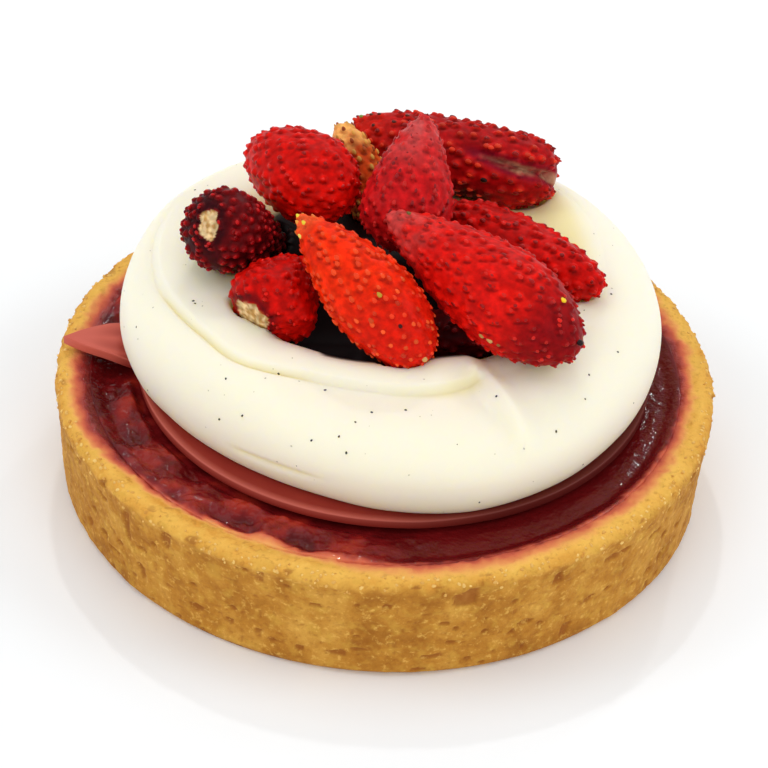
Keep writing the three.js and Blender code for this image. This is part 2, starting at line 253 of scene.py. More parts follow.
world = bpy.data.worlds.new("tent")
world.use_nodes = True
world.node_tree.nodes.clear()
tent = put(world.node_tree, "ShaderNodeBackground", {"Color": (1, 1, 1, 1), "Strength": 0.6})
put(world.node_tree, "ShaderNodeOutputWorld", {"Surface": tent.outputs[0]})
bpy.context.scene.world = world


def lamp(name, place, size, power):
    """a round lamp that faces the tart; place and size in metres, power in watts"""
    data = bpy.data.lights.new(name, "AREA")
    data.shape = "DISK"
    data.size = size
    data.energy = power
    made = show(name, data)
    made.location = place
    made.rotation_mode = "QUATERNION"
    made.rotation_quaternion = (-Vector(place)).to_track_quat("-Z", "Y")


lamp("overhead", (-0.10, 0.15, 1.10), 0.9, 1.7)
lamp("front_left", (-0.55, -0.90, 0.50), 0.8, 1.9)
lamp("front_right", (0.60, -0.88, 0.50), 0.8, 2.1)
lamp("side_left", (-0.9, 0.0, 0.7), 0.5, 1.9)
lamp("side_right", (0.9, 0.0, 0.7), 0.5, 2.1)
lamp("sparkle", (-0.05, 0.42, 0.60), 0.03, 0.5)
lamp("sparkle_low", (0.20, 0.60, 0.45), 0.03, 0.4)

FLOOR_HALF = 1.5   # m
floor_mesh = bpy.data.meshes.new("floor")
corners = [(x * FLOOR_HALF, y * FLOOR_HALF, 0) for x, y in ((-1, -1), (1, -1), (1, 1), (-1, 1))]
floor_mesh.from_pydata(corners, [], [(0, 1, 2, 3)])
floor = show("floor", floor_mesh)
paper, tree = new_material("matt white paper")
sheet = put(tree, "ShaderNodeBsdfPrincipled",
            {"Base Color": linear("F7FAFC"), "Roughness": 0.9, "Specular IOR Level": 0.1})
put(tree, "ShaderNodeOutputMaterial", {"Surface": sheet.outputs[0]})
floor_mesh.materials.append(paper)
print("lamps and floor set")

# %% [markdown]
# A strawberry is a body of revolution that is fuller near its stem. Two
# powered arcs, one for each end, give that outline, with the same numbers as
# the CAD solids. The berry's own frame (along, side, other) places it in the
# heap, and angles round it are counted in degrees.

# %% The berries' sizes and places
BERRY_SIZES = "base tip girth wide stem point cleft".split()
BERRIES = {name: dict(zip(BERRY_SIZES, sizes)) for name, *sizes in (
    ("berry_back_left", (-17.58, 17.54, 33.31), (-5.46, 5.37, 35.08), 5.92, 0.62, 2.1, 1.82, 0),
    ("berry_left_dark", (-21.71, -2.6, 35.6), (-13.25, 11.85, 23.02), 5.39, 0.22, 2.04, 1.3, 0),
    ("berry_left_front", (-14.88, -10.41, 27.43), (-10.42, -1.05, 30.36), 5.8, 0.3, 1.9, 1.5, 0),
    ("berry_front", (4.66, -15.51, 27.33), (-11.19, -4.01, 38.66), 5.51, 0.44, 2.14, 1.42, 0),
    ("berry_right_front", (21.81, -15.19, 29.67), (-1.03, -1.12, 37.55), 6.21, 0.38, 1.98, 1.52, 0),
    ("berry_right", (24.87, -1.54, 29.02), (4.7, 11.93, 29.07), 4.5, 0.6, 2.23, 2.11, 0),
    ("berry_middle", (0.62, 1.91, 30.19), (2.94, 12.54, 42.82), 5.88, 0.3, 2.0, 1.5, 0),
    ("berry_back_right", (-6.32, 24.97, 31.7), (19.54, 19.37, 30.36), 5.1, 0.66, 2.6, 3.2, 1.7),
    ("berry_back_pale", (-1.31, 14.07, 25.61), (-7.38, 19.77, 36.24), 3.5, 0.3, 2.2, 2.09, 0),
    ("berry_under_dark", (15.8, -2.49, 23.93), (0.86, -5.11, 21.76), 3.8, 0.53, 2.0, 1.8, 0),
)}
FLESH_SUNK = 0.24   # the flesh lies this far under the CAD outline, for the seeds


def fullness(berry, t):
    t = np.clip(t, 0, 1)
    low = (1 - np.clip(1 - t / berry["wide"], 0, 1) ** berry["stem"]) ** (1 / berry["stem"])
    above = np.clip((t - berry["wide"]) / (1 - berry["wide"]), 0, 1)
    high = (1 - above ** berry["point"]) ** (1 / berry["point"])
    return np.where(t < berry["wide"], low, high)


def berry_frame(berry):
    base = np.array(berry["base"], float)
    along = np.array(berry["tip"], float) - base
    length = np.linalg.norm(along)
    along /= length
    side = np.cross(along, [0, 0, 1])
    side /= np.linalg.norm(side)
    return base, along, length, side, np.cross(along, side)


for name, berry in BERRIES.items():
    print(f"{name}: {berry_frame(berry)[2]:.1f} mm long, {2 * berry['girth']:.1f} mm thick")

# %% [markdown]
# The flesh is a little lumpy, and one berry has grown with a cleft in its end.
# Seeds sit in a spiral, each turned by the golden angle from the last, which is
# how the plant itself spaces them. Placing them by equal steps of surface keeps
# their distance the same from stem to tip. Each kind of berry has its own
# spacing, so that is a value given to the function.

# %% Flesh surface, cleft and seed spiral
GOLDEN_TURN = 137.508
CLEFT_ANGLE = -42
CLEFT_WIDTH = 0.85


def flesh_point(berry, t, angle, seed):
    """points on the flesh; t runs from stem to tip, angle in degrees"""
    base, along, length, side, other = berry_frame(berry)
    a = np.radians(angle)
    full = berry["girth"] * fullness(berry, t)
    ball = np.stack([np.cos(a) * 1.3, np.sin(a) * 1.3, t * 4], -1)
    lump = 0.03 * berry["girth"] * (1 + noise(ball, 1.0, seed))
    r = np.maximum(0.4 * full, full - (FLESH_SUNK + lump) * np.minimum(1, full / 4))
    return (base + np.multiply.outer(t * length, along)
            + (r * np.cos(a))[..., None] * side + (r * np.sin(a))[..., None] * other)


def cleft_depth(berry, points, t):
    """how far the cleft cuts in: a slot that starts mid-way and runs over the tip"""
    if not berry["cleft"]:
        return np.zeros(np.shape(t))
    base, along, length, side, other = berry_frame(berry)
    a = np.radians(CLEFT_ANGLE)
    out = np.cos(a) * side + np.sin(a) * other
    from_base = points - base
    across = from_base @ np.cross(along, out) - 0.5 * np.sin(t * 9)
    outer = smooth((from_base @ out + 1.5) / 2)
    return berry["cleft"] * smooth((t - 0.5) / 0.35) * outer * np.exp(-(across / CLEFT_WIDTH) ** 2)


def seed_places(berry, pitch, seed):
    t = np.linspace(0, 1, 400)
    ring = berry["girth"] * fullness(berry, t)
    step = np.hypot(np.gradient(ring), np.gradient(t * berry_frame(berry)[2]))
    area = np.cumsum(2 * np.pi * ring * step)
    count = int(area[-1] / (pitch ** 2 * 0.866))
    k = np.arange(count)
    where = np.interp((k + 0.5) / count * area[-1], area, t)
    jitter = np.random.default_rng(seed)
    where = np.clip(where + jitter.normal(0, 0.012, count), 0.01, 0.99)
    angle = (k * GOLDEN_TURN + jitter.normal(0, 9.0, count)) % 360
    return where, angle


print("seeds on the front berry:", len(seed_places(BERRIES["berry_front"], 1.7, 3)[0]))

# %% [markdown]
# Ripe flesh isn't one red: it is bright where the light sinks in, nearly black
# where it is overripe, pale at an unripe tip, and it has a dry tan scar where
# the stem came off. Painted shade darkens the dimples between the seed cushions
# and a short dash below each seed, and a few berries also carry a painted
# reflection, a painted lighter top or a painted shadow where neighbours cover
# them. These tints are stored on each berry's points as a colour, but the
# painted light and shade on those few berries is set by height or place.

# %% What each berry looks like
# pitch: mm from seed to seed, swell and reach: height and width of the flesh
# round a seed, lift: how far the seed stands out, size: the seed's scale
# flesh and deep: the red and a darker red; deep gives random patches, and also the painted shade in the
# dimples and below each seed
LOOK_NAMES = "flesh deep seed other share bead pitch swell reach lift size".split()
LOOKS = {name: dict(zip(LOOK_NAMES, values)) for name, *values in (
    ("berry_back_left", "E61208", "A80604", "DC160A", "A80A06",
     0.5, 0.2, 1.85, 0.26, 0.6, -0.12, 0.95),
    ("berry_left_dark", "46060C", "1C0308", "B41416", "8A0C10",
     0.4, 0.7, 1.4, 0.34, 0.54, -0.1, 0.95),
    ("berry_left_front", "D80E05", "980604", "D41408", "A80A06",
     0.4, 0.25, 1.7, 0.26, 0.58, -0.12, 0.9),
    ("berry_front", "FC3206", "D82008", "E8501C", "D83410",
     0.5, 0.3, 1.65, 0.2, 0.54, -0.09, 1.0),
    ("berry_right_front", "EA180C", "A2060A", "CC1A10", "980A0A",
     0.5, 0.25, 1.8, 0.25, 0.58, -0.13, 0.95),
    ("berry_right", "DE120A", "960406", "C8180F", "920A08",
     0.4, 0.3, 1.75, 0.34, 0.62, -0.13, 1.0),
    ("berry_middle", "DC1C1E", "A00C14", "C4201C", "900E16",
     0.45, 0.35, 1.65, 0.22, 0.56, -0.12, 0.95),
    ("berry_back_right", "C81012", "74060C", "D23418", "8A0C0C",
     0.5, 0.5, 1.85, 0.38, 0.62, -0.12, 1.05),
    ("berry_back_pale", "DC5018", "B03010", "D8A048", "A04818",
     0.5, 0.3, 1.5, 0.24, 0.52, -0.09, 0.95),
    ("berry_under_dark", "6A080E", "340408", "8A1014", "50080C",
     0.5, 0.5, 1.7, 0.24, 0.54, -0.1, 0.9),
)}
SCARS = {
    "berry_left_dark": dict(place=(-21.5, -2.4, 35.6), size=1.5, stretch=0.35, turn=66),
    "berry_left_front": dict(place=(-15.8, -9.7, 28.2), size=2.15, stretch=0.15, turn=0),
}


def blend(a, b, amount):
    amount = np.asarray(amount)[..., None]
    return a * (1 - amount) + b * amount


def tint(hex_colour):
    return np.array(linear(hex_colour)[:3])


def inside_scar(name, points):
    """mm inwards from the edge of the dry scar, negative outside it"""
    if name not in SCARS:
        return np.full(points.shape[:-1], -9.0)
    scar = SCARS[name]
    side, other = berry_frame(BERRIES[name])[3:]
    off = points - np.array(scar["place"])
    turn = np.arctan2(off @ other, off @ side)
    edge = scar["size"] + scar["stretch"] * np.cos(2 * (turn - np.radians(scar["turn"])))
    edge = edge + 0.13 * np.cos(5 * turn + 1) + 0.15 * noise(points, 0.7, 14)
    return edge - np.linalg.norm(off, axis=-1)


def flesh_colour(name, points, t, near, low, cleft):
    """near, low: distance in mm to the closest seed and to the hollow below one"""
    look = LOOKS[name]
    base, along, length, side, other = berry_frame(BERRIES[name])
    off = points - base
    fibre = np.stack([off @ along / 6, off @ side, off @ other], -1)
    patch = smooth(0.5 + 0.9 * rough(points, [(4.0, 0.6), (1.5, 0.4)], 40))
    colour = blend(tint(look["flesh"]), tint(look["deep"]), 0.4 * patch)
    # painted shade: darker red in the dimples between the seed cushions
    between = smooth((near - 0.7 * look["reach"]) / 0.4)
    colour = blend(colour, tint(look["deep"]), 0.3 * between)
    colour = colour * (1 + 0.22 * noise(fibre, 0.45, 41) + 0.12 * noise(points, 0.5, 42))[..., None]
    colour = blend(colour, tint(look["seed"]) * 1.15, look["bead"] * np.exp(-(near / 0.42) ** 2))
    # painted shadow: a dark dash in the hollow below each seed, on its lower and front side
    colour = blend(colour, tint(look["deep"]) * 0.4, 0.85 * np.exp(-(low / 0.2) ** 2))
    if name == "berry_left_dark":
        # painted light: the top of this berry lighter red by its height
        upper = smooth((points[..., 2] - 31) / 3.5) * smooth((points[..., 0] + 22) / 3)
        colour = blend(colour, tint("8A080C"), 0.3 * upper)
        # painted shade: near black towards the tip, which lies in shade under its neighbours
        colour = blend(colour, tint("1C0206"), 0.6 * smooth((t - 0.3) / 0.35))
    if name == "berry_front":
        colour = blend(colour, tint("D4180A"), 0.85 * smooth((0.6 - t) / 0.4))
        colour = blend(colour, tint("F07038"), 0.55 * smooth((t - 0.86) / 0.1))
    if name == "berry_right_front":
        # painted reflection: a pinkish sheen of white light near the tip end
        painted_reflection = smooth((t - 0.7) / 0.18) * smooth(0.55 + noise(points, 1.8, 8))
        colour = blend(colour, tint("D0605C"), 0.45 * painted_reflection)
        colour = blend(colour, tint("6E040E"), 0.75 * smooth((0.33 - t) / 0.2))
    if name == "berry_middle":
        # painted reflection: a pinkish sheen of white light over the tip half
        painted_reflection = smooth((t - 0.5) / 0.4) * smooth(0.8 + 0.8 * noise(points, 1.8, 9))
        colour = blend(colour, tint("D4605E"), 0.6 * painted_reflection)
    if name == "berry_back_right":
        purple = smooth(cleft / 0.5) * smooth((t - 0.45) / 0.1)
        colour = blend(colour, tint("7A1430"), 0.6 * purple)
        dried = smooth((cleft - 0.5) / 0.7) * smooth(0.85 + 0.9 * noise(points, 0.9, 12))
        colour = blend(colour, tint("B88A6C"), 0.9 * dried * smooth((t - 0.58) / 0.08))
        colour = blend(colour, tint("D82412"), 0.6 * smooth((0.3 - t) / 0.25))
        # painted shadow: the low part of this berry that lies in its neighbours' shade, found by place
        painted_shadow = smooth((points[..., 0] - 2) / 3) * smooth((13.5 - points[..., 0]) / 4)
        colour = blend(colour, tint("30040A"), 0.85 * painted_shadow * smooth((31.0 - points[..., 2]) / 2.5))
    if name == "berry_back_pale":
        colour = blend(colour, tint("F8B462"), smooth((t - 0.7 + 0.1 * noise(points, 1.5, 2)) / 0.18))
    inside = inside_scar(name, points)
    colour = blend(colour, tint("2E040C"), 0.75 * np.exp(-((inside + 0.5) / 0.6) ** 2))
    husk = blend(tint("EACB98"), tint("BE9052"), smooth(0.4 + 1.2 * noise(points, 0.4, 15)))
    return blend(colour, husk, smooth(inside / 0.15))


print("looks kept for", len(LOOKS), "berries")

# %% [markdown]
# Each berry's mesh is fine enough, about a fifth of a millimetre, to carry the
# small cushion of flesh that swells round each seed. The distance from every
# point to its nearest seed sets both that swelling and the painted shade of the
# dimples round it.

# %% Helpers for the flesh
MESH_STEP = 0.19     # mm between points of the flesh
DASH = 0.54          # mm from a seed to the hollow below it
DASH_HALF = 0.26     # mm from the middle of the hollow to each end
HOLLOW_DEPTH, HOLLOW_WIDTH = 0.13, 0.22   # mm
SEED_RIDES = 0.65    # share of the swelling that lifts a seed
LUMP_SEED, TINT_SEED = 50, 200            # random seeds of the first berry


def nearest(points, seeds):
    best = np.full(len(points), 1e9)
    for start in range(0, len(points), 4000):
        block = points[start:start + 4000]
        d = ((block[:, None, :] - seeds[None, :, :]) ** 2).sum(-1)
        best[start:start + 4000] = np.sqrt(d.min(1))
    return best


def outward(rows, judged_by=None):
    """unit normals of a grid of rows that goes round; one row tells which way is out"""
    across = np.roll(rows, -1, 1) - np.roll(rows, 1, 1)
    down = np.gradient(rows, axis=0)
    n = np.cross(across, down)
    n /= np.maximum(np.linalg.norm(n, axis=-1, keepdims=True), 1e-9)
    middle = len(rows) // 2 if judged_by is None else judged_by
    flip = n[middle, 0] @ (rows[middle, 0] - rows[middle].mean(0)) < 0
    return -n if flip else n


def downhill(facing):
    """the way down and to the front along the skin, for each facing"""
    fall = np.array([0, -0.5, -0.85])
    way = fall - facing * (facing @ fall)[..., None]
    return way / np.maximum(np.linalg.norm(way, axis=-1, keepdims=True), 1e-9)


def seat(berry, ts, angles, seed):
    """places of seeds on the flesh and the way each faces"""
    base, along, length, _, _ = berry_frame(berry)
    places = flesh_point(berry, ts, angles, seed)
    ahead = flesh_point(berry, ts, angles + 2, seed) - flesh_point(berry, ts, angles - 2, seed)
    upward = flesh_point(berry, np.minimum(ts + 0.01, 1), angles, seed) - places
    facing = np.cross(ahead, upward)
    facing /= np.linalg.norm(facing, axis=-1, keepdims=True)
    outside = places - (base + np.multiply.outer(ts * length, along))
    return places, facing * np.sign((facing * outside).sum(-1, keepdims=True))


print("mesh step", MESH_STEP, "mm")

# %% [markdown]
# A few seeds stand out one by one: unripe yellow ones, dried ones, and some
# that have gone black. They take the place of the spiral's nearest seeds. The
# others vary in size and ripeness by a seeded draw.

# %% Seeds of one berry
# place along the berry, angle round it, colour, scale
ODD_SEEDS = {
    "berry_right_front": [
        (0.164, 278, "F4CC20", 1.3), (0.346, 166, "B08848", 1.0), (0.308, 167, "C8A060", 1.2),
        (0.270, 168, "8E6030", 0.9), (0.019, 258, "1C0808", 1.6), (0.906, 274, "6A5A2A", 1.1)],
    "berry_front": [
        (0.987, 228, "EAD840", 0.9), (0.937, 228, "E4C838", 0.9), (0.899, 184, "E8D060", 0.9),
        (0.390, 240, "B8942E", 1.0), (0.208, 234, "3C0808", 0.9), (0.019, 228, "D0A060", 1.2)],
    "berry_back_right": [
        (0.057, 266, "7A9038", 1.0), (0.132, 300, "4A160A", 0.9), (0.220, 288, "4A160A", 0.85),
        (0.101, 266, "5A1E0C", 0.9), (0.138, 266, "4A160A", 0.85), (0.270, 268, "5A1E0C", 0.9),
        (0.352, 260, "4A160A", 0.9), (0.692, 352, "1E0606", 1.2)],
}
ODD_ROOM = 0.75   # mm round an odd seed that others leave free
ODD_LIFT = 0.05   # mm that it stands out further


def berry_seeds(name, seed):
    """place along, place and facing of every seed, with the odd ones last"""
    berry = BERRIES[name]
    ts, angles = seed_places(berry, LOOKS[name]["pitch"], seed)
    if name in ODD_SEEDS:
        odd_ts, odd_angles = np.array([odd[:2] for odd in ODD_SEEDS[name]], float).T
        odd_places, _ = seat(berry, odd_ts, odd_angles, seed)
        apart = nearest(seat(berry, ts, angles, seed)[0], odd_places) > ODD_ROOM
        ts, angles = np.r_[ts[apart], odd_ts], np.r_[angles[apart], odd_angles]
    return ts, *seat(berry, ts, angles, seed)


def seed_looks(name, ts, places, draw):
    """which seeds are kept, and the tint, scale and lift of each"""
    look = LOOKS[name]
    keep = (inside_scar(name, places) < -0.2) & (cleft_depth(BERRIES[name], places, ts) < 0.35)
    second = draw.random(len(ts)) < look["share"]
    tints = np.where(second[:, None], tint(look["other"]), tint(look["seed"]))
    tints = tints * draw.uniform(0.7, 1.25, (len(ts), 1))
    if name == "berry_left_dark":
        # painted shade: seeds darker towards this berry's tip, in the shade of its neighbours
        tints = blend(tints, tint("5A080C"), 0.7 * smooth((ts - 0.3) / 0.35))
    if name == "berry_front":
        tints = blend(tints, tint("F0A040"), smooth((ts - 0.9) / 0.08))
        middle = smooth((ts - 0.35) / 0.15) * smooth((0.88 - ts) / 0.1)
        tints = blend(tints, tint("EC4216"), 0.7 * middle)
    scale = look["size"] * draw.uniform(0.85, 1.12, len(ts))
    lift = np.full(len(ts), SEED_RIDES * look["swell"] + look["lift"])
    odd = ODD_SEEDS.get(name, [])
    if odd:
        keep[-len(odd):] = True
        tints[-len(odd):] = [tint(colour) for _, _, colour, _ in odd]
        scale[-len(odd):] = [own_scale for *_, own_scale in odd]
        lift[-len(odd):] += ODD_LIFT
    return keep, tints, scale, lift


print("odd seeds:", {name: len(odd) for name, odd in ODD_SEEDS.items()})

# %% Flesh of one berry, and the loop over all
def berry_flesh(name, places, facing, seed):
    """the skin with a cushion round each seed, a hollow below it, cleft and scar"""
    berry, look = BERRIES[name], LOOKS[name]
    flesh_rows = int(1.1 * berry_frame(berry)[2] / MESH_STEP)
    flesh_steps = int(2 * np.pi * berry["girth"] / MESH_STEP)
    t = 0.5 - 0.5 * np.cos(np.pi * (np.arange(flesh_rows) + 0.5) / flesh_rows)
    T, A = np.meshgrid(t, np.arange(flesh_steps) * 360 / flesh_steps, indexing="ij")
    rows = flesh_point(berry, T, A, seed)
    normals = outward(rows)
    way = downhill(facing)
    beside = np.cross(facing, way) * DASH_HALF
    hollows = np.concatenate([places + way * DASH, places + 0.85 * way * DASH + beside,
                              places + 0.85 * way * DASH - beside])
    near = nearest(rows.reshape(-1, 3), places).reshape(T.shape)
    low = nearest(rows.reshape(-1, 3), hollows).reshape(T.shape)
    cleft = cleft_depth(berry, rows, T)
    inside = inside_scar(name, rows)
    rise = look["swell"] * (np.clip(1 - (near / look["reach"]) ** 2, 0, 1) ** 0.65 - 0.35)
    rise -= HOLLOW_DEPTH * np.exp(-(low / HOLLOW_WIDTH) ** 2)
    rise = rise * smooth(-inside / 0.3) + rough(rows, [(2.2, 0.06), (0.7, 0.03)], seed)
    rise -= 0.2 * smooth(inside / 0.25) * (1 + noise(rows, 0.4, 3)) + cleft
    rows = rows + normals * (rise * smooth(np.minimum(T, 1 - T) / 0.004))[..., None]
    colour = flesh_colour(name, rows, T, near, low, cleft)[:, ::-1]
    stored = np.concatenate([colour[:1, -1], colour.reshape(-1, 3), colour[-1:, -1]])
    return skin(name + "_flesh", rows[:, ::-1], rows[0].mean(0), rows[-1].mean(0),
                colours={"flesh": stored})


berry_pieces, seed_sets = {}, []
for number, name in enumerate(BERRIES):
    seed = LUMP_SEED + number
    ts, places, facing = berry_seeds(name, seed)
    berry_pieces[name] = berry_flesh(name, places, facing, seed)
    keep, tints, scale, lift = seed_looks(name, ts, places, np.random.default_rng(TINT_SEED + number))
    along = np.repeat(berry_frame(BERRIES[name])[1][None], len(ts), 0)
    standing = places + facing * lift[:, None]
    seed_sets.append([values[keep] for values in (standing, facing, along, tints, scale)])
print("seeds in all:", sum(len(kept[0]) for kept in seed_sets))

# %% [markdown]
# Fresh strawberry flesh is wet, soft and lets light in a little way, which
# makes its red glow. The shader takes the stored tint, adds fine mottling,
# lets red light travel under the skin, and puts a thin wet gloss on top.

# %% Strawberry flesh material
flesh, tree = new_material("fresh strawberry flesh")
stored = put(tree, "ShaderNodeAttribute", attribute_name="flesh")
where = put(tree, "ShaderNodeTexCoord")
mottle = put(tree, "ShaderNodeTexNoise",
             {"Vector": where.outputs["Object"], "Scale": 1 / (0.9 * MM), "Detail": 3.0})
darker = put(tree, "ShaderNodeMapRange",
             {"Value": mottle.outputs["Fac"], "From Min": 0.35, "From Max": 0.7,
              "To Min": 0.74, "To Max": 1.18})
toned = put(tree, "ShaderNodeVectorMath",
            {0: stored.outputs["Color"], "Scale": darker.outputs["Result"]}, operation="SCALE")
pulp = put(tree, "ShaderNodeBsdfPrincipled", {
    "Base Color": toned.outputs["Vector"], "Roughness": 0.36,
    "Normal": fine_relief(tree, size=0.25, depth=0.08, strength=0.35),
    "Subsurface Weight": 0.15, "Subsurface Radius": (1.0, 0.12, 0.06), "Subsurface Scale": 0.7 * MM,
    "IOR": 1.34, "Specular IOR Level": 0.1,
})
put(tree, "ShaderNodeOutputMaterial", {"Surface": pulp.outputs[0]})
SLOTS = {"berry_left_dark": "berry_dark", "berry_under_dark": "berry_dark",
         "berry_back_pale": "berry_pale"}
for name, piece in berry_pieces.items():
    dress(piece, flesh, name, slot=SLOTS.get(name, "berry_red"))

# %% [markdown]
# The seeds of an alpine strawberry are small hard teardrops, under a millimetre
# long, that stand out of the skin. There are thousands of the same shape, so a
# Geometry Nodes tree makes one and sets it on every stored place, turned to
# face outwards and pointed towards the tip. The same tree, with other sizes,
# sets the short dried threads that lie beside many of them.

# %% A tree that sets small bodies on stored places
def place_cloud(name, points, normals, towards, tints, sizes):
    mesh = bpy.data.meshes.new(name)
    mesh.from_pydata((points * MM).tolist(), [], [])
    for label, values in (("facing", normals), ("towards", towards)):
        layer = mesh.attributes.new(label, "FLOAT_VECTOR", "POINT")
        layer.data.foreach_set("vector", np.asarray(values, float).ravel())
    layer = mesh.attributes.new("tint", "FLOAT_COLOR", "POINT")
    layer.data.foreach_set("color", np.c_[tints, np.ones(len(tints))].ravel())
    layer = mesh.attributes.new("size", "FLOAT", "POINT")
    layer.data.foreach_set("value", np.asarray(sizes, float))
    return show(name, mesh)


def scatter_tree():
    tree = bpy.data.node_groups.new("small bodies on places", "GeometryNodeTree")
    tree.interface.new_socket("Geometry", in_out="INPUT", socket_type="NodeSocketGeometry")
    for label, value in (("Length", 0.8), ("Width", 0.5), ("Height", 0.4), ("Pointedness", 0.45)):
        made = tree.interface.new_socket(label, in_out="INPUT", socket_type="NodeSocketFloat")
        made.default_value = value
    for label, value in (("Segments", 8), ("Rings", 5)):
        made = tree.interface.new_socket(label, in_out="INPUT", socket_type="NodeSocketInt")
        made.default_value = value
    tree.interface.new_socket("Finish", in_out="INPUT", socket_type="NodeSocketMaterial")
    tree.interface.new_socket("Geometry", in_out="OUTPUT", socket_type="NodeSocketGeometry")
    given = put(tree, "NodeGroupInput")
    ball = put(tree, "GeometryNodeMeshUVSphere",
               {"Segments": given.outputs["Segments"], "Rings": given.outputs["Rings"], "Radius": 0.5})
    spot = put(tree, "GeometryNodeInputPosition")
    parts = put(tree, "ShaderNodeSeparateXYZ", {"Vector": spot.outputs[0]})
    # narrower towards +Z, the seed's point
    lean = put(tree, "ShaderNodeMath", {0: parts.outputs["Z"], 1: given.outputs["Pointedness"]},
               operation="MULTIPLY")
    taper = put(tree, "ShaderNodeMath", {0: 1.0, 1: lean.outputs[0]}, operation="SUBTRACT")
    scaled = {"Z": given.outputs["Length"]}
    for axis, label in (("X", "Width"), ("Y", "Height")):
        tapered = put(tree, "ShaderNodeMath", {0: taper.outputs[0], 1: given.outputs[label]},
                      operation="MULTIPLY")
        scaled[axis] = tapered.outputs[0]
    shaped = put(tree, "ShaderNodeCombineXYZ")
    for axis, factor in scaled.items():
        stretched = put(tree, "ShaderNodeMath", {0: parts.outputs[axis], 1: factor}, operation="MULTIPLY")
        tree.links.new(stretched.outputs[0], shaped.inputs[axis])
    sized = put(tree, "ShaderNodeVectorMath", {0: shaped.outputs[0], "Scale": MM}, operation="SCALE")
    drop = put(tree, "GeometryNodeSetPosition",
               {"Geometry": ball.outputs["Mesh"], "Position": sized.outputs["Vector"]})
    facing = put(tree, "GeometryNodeInputNamedAttribute", {"Name": "facing"}, data_type="FLOAT_VECTOR")
    towards = put(tree, "GeometryNodeInputNamedAttribute", {"Name": "towards"}, data_type="FLOAT_VECTOR")
    size = put(tree, "GeometryNodeInputNamedAttribute", {"Name": "size"}, data_type="FLOAT")
    turn = put(tree, "FunctionNodeAlignEulerToVector", {"Vector": towards.outputs["Attribute"]}, axis="Z")
    turn = put(tree, "FunctionNodeAlignEulerToVector",
               {"Rotation": turn.outputs[0], "Vector": facing.outputs["Attribute"]},
               axis="Y", pivot_axis="Z")
    set_on = put(tree, "GeometryNodeInstanceOnPoints", {
        "Points": given.outputs["Geometry"], "Instance": drop.outputs[0],
        "Rotation": turn.outputs[0], "Scale": size.outputs["Attribute"]})
    real = put(tree, "GeometryNodeRealizeInstances", {"Geometry": set_on.outputs[0]})
    even = put(tree, "GeometryNodeSetShadeSmooth", {"Geometry": real.outputs[0]})
    done = put(tree, "GeometryNodeSetMaterial",
               {"Geometry": even.outputs[0], "Material": given.outputs["Finish"]})
    put(tree, "NodeGroupOutput", {"Geometry": done.outputs[0]})
    return tree


SCATTER = scatter_tree()


def set_bodies(name, cloud, material, slot, **sizes):
    """run the tree on a cloud of places and keep the result as a plain mesh"""
    modifier = cloud.modifiers.new("bodies", "NODES")
    modifier.node_group = SCATTER
    wanted = {label.replace("_", " "): value for label, value in sizes.items()}
    wanted["Finish"] = material
    for item in SCATTER.interface.items_tree:
        if item.item_type == "SOCKET" and item.in_out == "INPUT" and item.name in wanted:
            modifier[item.identifier] = wanted[item.name]
    graph = bpy.context.evaluated_depsgraph_get()
    mesh = bpy.data.meshes.new_from_object(cloud.evaluated_get(graph))
    mesh.name = name
    piece = show(name, mesh)
    bpy.data.objects.remove(cloud)
    dress(piece, material, slot=slot)


print("tree inputs:", [i.name for i in SCATTER.interface.items_tree if i.in_out == "INPUT"])

# %% [markdown]
# A seed is dry and hard against the wet flesh, so it has a tighter, brighter
# highlight. Its colour runs from yellow through orange to dark brown-red by
# ripeness, which is stored with each place.

# %% Seeds and their dried threads
husk, tree = new_material("strawberry seed")
stored = put(tree, "ShaderNodeAttribute", attribute_name="tint")
coat = put(tree, "ShaderNodeBsdfPrincipled", {
    "Base Color": stored.outputs["Color"], "Roughness": 0.3, "IOR": 1.38, "Specular IOR Level": 0.3,
})
put(tree, "ShaderNodeOutputMaterial", {"Surface": coat.outputs[0]})

points, normals, towards, tints, sizes = map(np.concatenate, zip(*seed_sets))
cloud = place_cloud("seed_places", points, normals, towards, tints, sizes)
set_bodies("seeds", cloud, husk, "berry_red", Length=0.76, Width=0.54, Height=0.34, Pointedness=0.5)

thread, tree = new_material("dried style of a seed")
fibre = put(tree, "ShaderNodeBsdfPrincipled", {"Base Color": linear("4E0C0A"), "Roughness": 0.5})
put(tree, "ShaderNodeOutputMaterial", {"Surface": fibre.outputs[0]})
draw = np.random.default_rng(77)
some = draw.random(len(points)) < 0.06
sideways = np.cross(normals, towards)
spread = draw.uniform(-0.5, 0.5, (len(points), 1))
lying = towards + sideways * spread
offset = lying * 0.4 + sideways * draw.uniform(-0.18, 0.18, (len(points), 1)) - normals * 0.1
cloud = place_cloud("thread_places", (points + offset)[some], normals[some], lying[some],
                    tints[some], draw.uniform(0.7, 1.2, some.sum()))
set_bodies("seed_threads", cloud, thread, "berry_dark",
           Length=0.6, Width=0.1, Height=0.1, Pointedness=1.0, Segments=4, Rings=3)

# %% [markdown]
# Jam has crept out over the rim by a different way at each side, and further
# on, the cream's folds wander in the same manner. Both are described by a
# smooth closed curve through a few named angles. The share of soaked jam falls
# from 1 to 0 across that curve, over a width that changes round the tart too,
# and crust and jam both use it, so that no seam shows between them.

